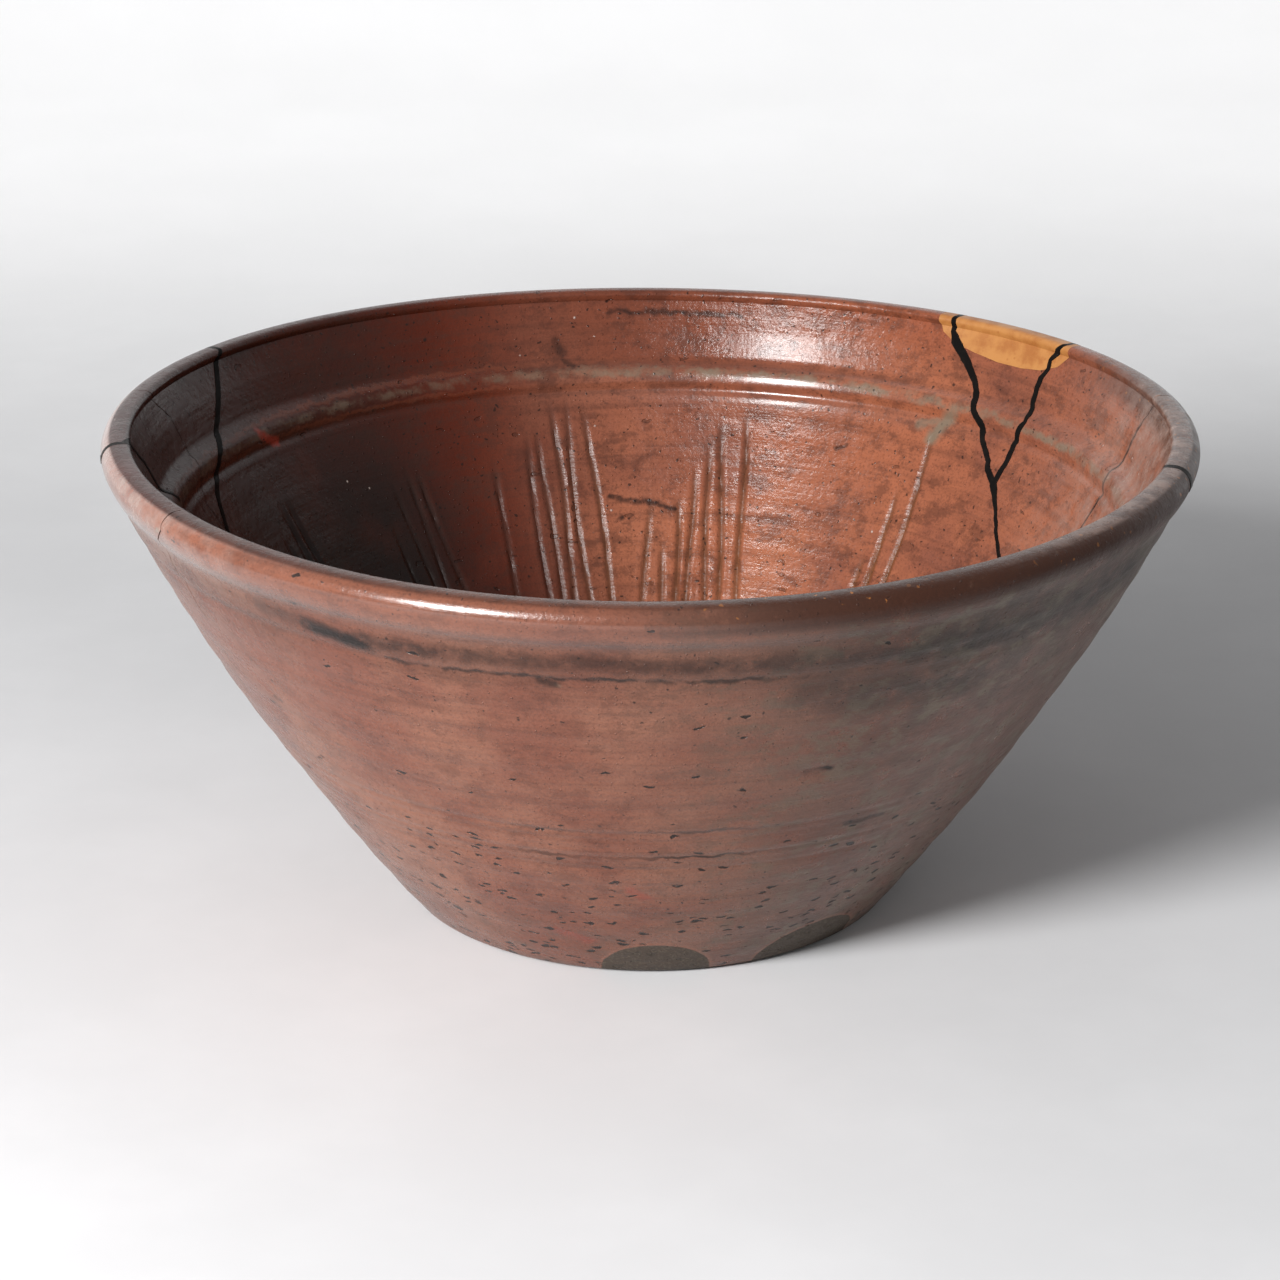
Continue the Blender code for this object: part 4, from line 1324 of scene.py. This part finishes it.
    rough = graded(tree, wheel["Mottle"], 0.30, 0.12)
    rough = calc(tree, "ADD", rough, calc(tree, "MULTIPLY", ash, 0.10))
    rough = calc(tree, "ADD", rough, calc(tree, "MULTIPLY", bare, 0.30))
    rough = calc(tree, "ADD", rough, calc(tree, "MULTIPLY", comb, 0.12))
    rough = calc(tree, "SUBTRACT", rough, calc(tree, "MULTIPLY", flush, 0.05), clamp=True)
    rough = calc(tree, "SUBTRACT", rough, calc(tree, "MULTIPLY", beads_and_glints, 0.25), clamp=True)
    tree.links.new(layer(tree, "wet"), shader.inputs["Coat Weight"])
    shader.inputs["Coat Roughness"].default_value = 0.20
    tree.links.new(rough, shader.inputs["Roughness"])

    relief = calc(tree, "MULTIPLY", wheel["Streaks"], 0.55)
    parts = ((wheel["Mottle"], 0.75), (wheel["Grain"], 0.16), (wheel["Skin"], 0.45))
    for value, weight in (*parts, (grains, 0.66), (pits, -0.9), (specks, 0.10), (beads_and_glints, 0.9)):
        relief = calc(tree, "ADD", relief, calc(tree, "MULTIPLY", value, weight))
    bump = put(
        tree, "ShaderNodeBump", {"Height": relief, "Strength": 0.8, "Distance": 0.00042}
    ).outputs[0]
    tree.links.new(bump, shader.inputs["Normal"])
    shader.inputs["Specular IOR Level"].default_value = 0.26
    return made


def lacquer_finish(colours):
    """Black lacquer: deep gloss, a little uneven where it was wiped."""
    found = bpy.data.materials.get("black_lacquer")
    if found:
        return found
    made, tree, shader, place = new_material("black_lacquer")
    wave = noise_of(tree, place, 420.0, 3.0, 0.5)
    grit = noise_of(tree, place, 2200.0, 2.0, 0.5)
    worn = eased(tree, wave, 0.45, 0.8, 0.25)
    base = mixed(tree, worn, full(colours.lacquer), full(WORN_LACQUER))
    tree.links.new(base, shader.inputs["Base Color"])
    rough = graded(tree, grit, 0.20, 0.16)
    tree.links.new(rough, shader.inputs["Roughness"])
    bump = put(
        tree, "ShaderNodeBump", {"Height": wave, "Strength": 0.5, "Distance": 0.0002}
    ).outputs[0]
    tree.links.new(bump, shader.inputs["Normal"])
    shader.inputs["Specular IOR Level"].default_value = 0.02
    return made


def ochre_finish(colours):
    """Ochre fill: satin, clouded and brushed, with specks of the clay showing."""
    found = bpy.data.materials.get("ochre_fill")
    if found:
        return found
    made, tree, shader, place = new_material("ochre_fill")
    wheel = grouped(tree, wheel_group(), {"Place": place, "Fineness": 300.0})
    clouds = calc(tree, "ADD", wheel["Mottle"], calc(tree, "MULTIPLY", wheel["Streaks"], 0.35))
    base = mixed(
        tree, eased(tree, clouds, 0.56, 0.86, 0.85), full(colours.ochre), full(colours.ochre_dark)
    )
    specks = spots(tree, place, 520.0, 0.24, 0.22)
    base = mixed(tree, calc(tree, "MULTIPLY", specks, 0.55), base, full(colours.ochre_dark))
    tree.links.new(base, shader.inputs["Base Color"])
    rough = graded(tree, wheel["Mottle"], 0.35, 0.24)
    tree.links.new(rough, shader.inputs["Roughness"])
    relief = calc(tree, "ADD", wheel["Mottle"], calc(tree, "MULTIPLY", wheel["Grain"], 0.3))
    bump = put(
        tree, "ShaderNodeBump", {"Height": relief, "Strength": 0.6, "Distance": 0.0003}
    ).outputs[0]
    tree.links.new(bump, shader.inputs["Normal"])
    return made


# Operators


class BOWL_OT_break_bowl(Operator):
    """Turn, comb and chip the bowl, and break it along its cracks"""

    bl_idname = "bowl.break_bowl"
    bl_label = "Broken bowl"

    def execute(self, context):
        size = context.scene.bowl_sizes
        look = clay_finish(size, context.scene.bowl_clay)
        bench = workshop()
        bowl = bowl_copy(size, "bowl", context.scene.collection)
        cutters = [chip_block(size, "chip", 0.0, bench)]
        paths = [path for group in SEAMS.values() for path in group]
        for i, path in enumerate([*paths, *HAIRLINES]):
            cutters.append(crack_blade(size, f"blade_{i}", path, 0.0, bench))
        for cutter in cutters:
            boolean(bowl, cutter, "DIFFERENCE")
        pieces = loose_pieces(settled(bowl))
        finished(size, pieces[0], "combed_bowl", "bowl_body", look)
        for node, piece in named(pieces[1:], SHERDS):
            finished(size, piece, node.replace("sherd", "piece"), node, look)
        discard(cutters)
        return {"FINISHED"}


class BOWL_OT_fill_cracks(Operator):
    """Fill the wide cracks with black lacquer"""

    bl_idname = "bowl.fill_cracks"
    bl_label = "Lacquer seams"

    def execute(self, context):
        size = context.scene.bowl_sizes
        look = lacquer_finish(context.scene.bowl_mends)
        bench = workshop()
        proud = bowl_copy(size, "proud_bowl", bench)
        co = coordinates(proud.data)
        normals = np.zeros(len(proud.data.vertices) * 3, np.float32)
        proud.data.vertex_normals.foreach_get("vector", normals)
        stand = size.lacquer_proud * smooth(size.height + 0.001, size.height - 0.004, co[:, 2])
        co += normals.reshape(-1, 3) * stand[:, None]
        set_coordinates(proud.data, co)
        for node, paths in SEAMS.items():
            strips = [
                crack_blade(size, f"{node}_strip_{i}", path, size.seat_gap, bench)
                for i, path in enumerate(paths)
            ]
            seam = bpy.data.objects.new(node + "_blank", strips[0].data.copy())
            context.scene.collection.objects.link(seam)
            for strip in strips[1:]:
                boolean(seam, strip, "UNION")
            boolean(seam, proud, "INTERSECT")
            pieces = loose_pieces(settled(seam))
            finished(size, pieces[0], node.replace("lacquer", "black"), node, look)
            discard([*pieces[1:], *strips])
        discard([proud])
        return {"FINISHED"}


class BOWL_OT_fill_chip(Operator):
    """Make up the chip at the lip with ochre fill"""

    bl_idname = "bowl.fill_chip"
    bl_label = "Ochre fill"

    def execute(self, context):
        size = context.scene.bowl_sizes
        look = ochre_finish(context.scene.bowl_mends)
        bench = workshop()
        fill = bowl_copy(size, "fill", context.scene.collection)
        cutters = [chip_block(size, "chip_fill", size.seat_gap, bench)]
        boolean(fill, cutters[0], "INTERSECT")
        for i, path in enumerate(SEAMS["lacquer_wedge_seam"]):
            cutters.append(crack_blade(size, f"fill_blade_{i}", path, 0.0, bench))
            boolean(fill, cutters[-1], "DIFFERENCE")
        pieces = loose_pieces(settled(fill))
        for node, piece in named(pieces, FILLS):
            finished(size, piece, node.replace("fill", "ochre"), node, look)
        discard(cutters)
        return {"FINISHED"}


def cove_finish(stage):
    """Pale matte floor, with a faint cloud so that it isn't dead flat."""
    made, tree, shader, place = new_material("pale_floor")
    cloud = noise_of(tree, place, 9.0, 5.0, 0.6)
    darker = tuple(0.94 * value for value in stage.floor)
    base = mixed(tree, eased(tree, cloud, 0.35, 0.7), full(darker), full(stage.floor))
    tree.links.new(base, shader.inputs["Base Color"])
    shader.inputs["Roughness"].default_value = 0.85
    shader.inputs["Specular IOR Level"].default_value = 0.2
    # The backdrop shows white, and the floor near the bowl keeps its shadow
    paths = put(tree, "ShaderNodeLightPath").outputs
    seen = calc(tree, "MAXIMUM", paths["Is Camera Ray"], paths["Is Glossy Ray"])
    seen = calc(tree, "MAXIMUM", seen, paths["Is Transmission Ray"])
    depth = put(tree, "ShaderNodeSeparateXYZ", {0: place}).outputs[1]
    glow = calc(tree, "MULTIPLY", seen, eased(tree, depth, 0.15, 0.95, 0.55))
    shader.inputs["Emission Strength"].default_value = 1.0
    lit = mixed(tree, glow, (0.0, 0.0, 0.0, 1.0), (1.0, 1.0, 1.0, 1.0))
    tree.links.new(lit, shader.inputs["Emission Color"])
    return made


class BOWL_OT_set_stage(Operator):
    """Set the pale floor and backdrop, the soft lamp and the camera"""

    bl_idname = "bowl.set_stage"
    bl_label = "Stage"

    def execute(self, context):
        stage = context.scene.bowl_stage
        self.lay_cove(context, stage)
        self.hang_lamp(context, stage)
        self.place_camera(context, stage)
        return {"FINISHED"}

    def lay_cove(self, context, stage):
        """A floor that curves up into a backdrop behind the bowl."""
        shape = bmesh.new()
        section = [(-FLOOR_REACH, 0.0), (-1.0, 0.0), (0.30, 0.0)]
        section += arc(BEND_AT, BEND_RADIUS, BEND_RADIUS, -90, 0, 14)[1:]
        section.append((section[-1][0], BACKDROP_TOP))
        first = [shape.verts.new((-FLOOR_REACH, y, z)) for y, z in section]
        edges = [shape.edges.new(pair) for pair in zip(first, first[1:])]
        made = bmesh.ops.extrude_edge_only(shape, edges=edges)["geom"]
        far = [item for item in made if isinstance(item, bmesh.types.BMVert)]
        bmesh.ops.translate(shape, verts=far, vec=(2 * FLOOR_REACH, 0.0, 0.0))
        bmesh.ops.recalc_face_normals(shape, faces=shape.faces)
        shape.faces.ensure_lookup_table()
        if shape.faces[0].normal.z < 0:
            bmesh.ops.reverse_faces(shape, faces=shape.faces)
        cove = as_object("cove", shape, context.scene.collection)
        cove.data.materials.append(cove_finish(stage))
        cove.data.shade_smooth()

    def hang_lamp(self, context, stage):
        """One soft lamp from the front left, and even light from all round."""
        light = bpy.data.lights.new("key", "AREA")
        light.shape = "DISK"
        light.size = LAMP_SIZE
        light.energy = stage.key_power
        lamp = bpy.data.objects.new("key", light)
        context.scene.collection.objects.link(lamp)
        aim = Vector(LAMP_TOWARD).normalized()
        lamp.location = aim * LAMP_DISTANCE
        lamp.rotation_euler = aim.to_track_quat("Z", "Y").to_euler()
        world = bpy.data.worlds.new("even_light")
        world.use_nodes = True
        sky = world.node_tree.nodes["Background"].inputs
        sky["Color"].default_value = (1.0, 1.0, 1.0, 1.0)
        sky["Strength"].default_value = stage.sky
        context.scene.world = world

    def place_camera(self, context, stage):
        """The camera stands in front, a little above the rim."""
        data = bpy.data.cameras.new("front")
        data.lens = stage.lens
        data.sensor_width = 36.0
        camera = bpy.data.objects.new("front", data)
        context.scene.collection.objects.link(camera)
        tilt = stage.camera_elevation
        back = Vector((0.0, -math.cos(tilt), math.sin(tilt)))
        camera.location = Vector(CAMERA_TARGET) + back * stage.camera_distance
        roll = Matrix.Rotation(math.radians(CAMERA_ROLL), 4, "Z")
        turn = back.to_track_quat("Z", "Y").to_matrix().to_4x4() @ roll
        camera.rotation_euler = turn.to_euler()
        context.scene.camera = camera


class BOWL_PT_panel(Panel):
    """Lists the bowl's pieces and its sizes and colours"""

    bl_idname = "BOWL_PT_panel"
    bl_label = "Cracked mortar bowl"
    bl_space_type = "VIEW_3D"
    bl_region_type = "UI"
    bl_category = "Bowl"

    def draw(self, context):
        layout = self.layout
        for operator in PIECES:
            layout.operator(operator.bl_idname)
        for name in SETTINGS:
            group = getattr(context.scene, name)
            box = layout.box()
            for key in group.bl_rna.properties.keys():
                if key not in ("rna_type", "name"):
                    box.prop(group, key)


PIECES = (BOWL_OT_break_bowl, BOWL_OT_fill_cracks, BOWL_OT_fill_chip, BOWL_OT_set_stage)
SETTINGS = {
    "bowl_sizes": BowlSizes,
    "bowl_clay": ClayColours,
    "bowl_mends": MendColours,
    "bowl_stage": StageSettings,
}


def register():
    for group in SETTINGS.values():
        bpy.utils.register_class(group)
    for made in (*PIECES, BOWL_PT_panel):
        bpy.utils.register_class(made)
    for name, group in SETTINGS.items():
        setattr(bpy.types.Scene, name, PointerProperty(type=group))


def unregister():
    for name in SETTINGS:
        delattr(bpy.types.Scene, name)
    for made in (BOWL_PT_panel, *reversed(PIECES)):
        bpy.utils.unregister_class(made)
    for group in reversed(SETTINGS.values()):
        bpy.utils.unregister_class(group)


def main():
    register()
    bpy.context.scene.view_settings.view_transform = "Standard"
    bpy.ops.bowl.break_bowl()
    bpy.ops.bowl.fill_cracks()
    bpy.ops.bowl.fill_chip()
    discard([bpy.data.objects[WHOLE_BOWL]])
    bpy.data.collections.remove(bpy.data.collections[WORKSHOP])
    bpy.ops.bowl.set_stage()


if __name__ == "__main__":
    main()
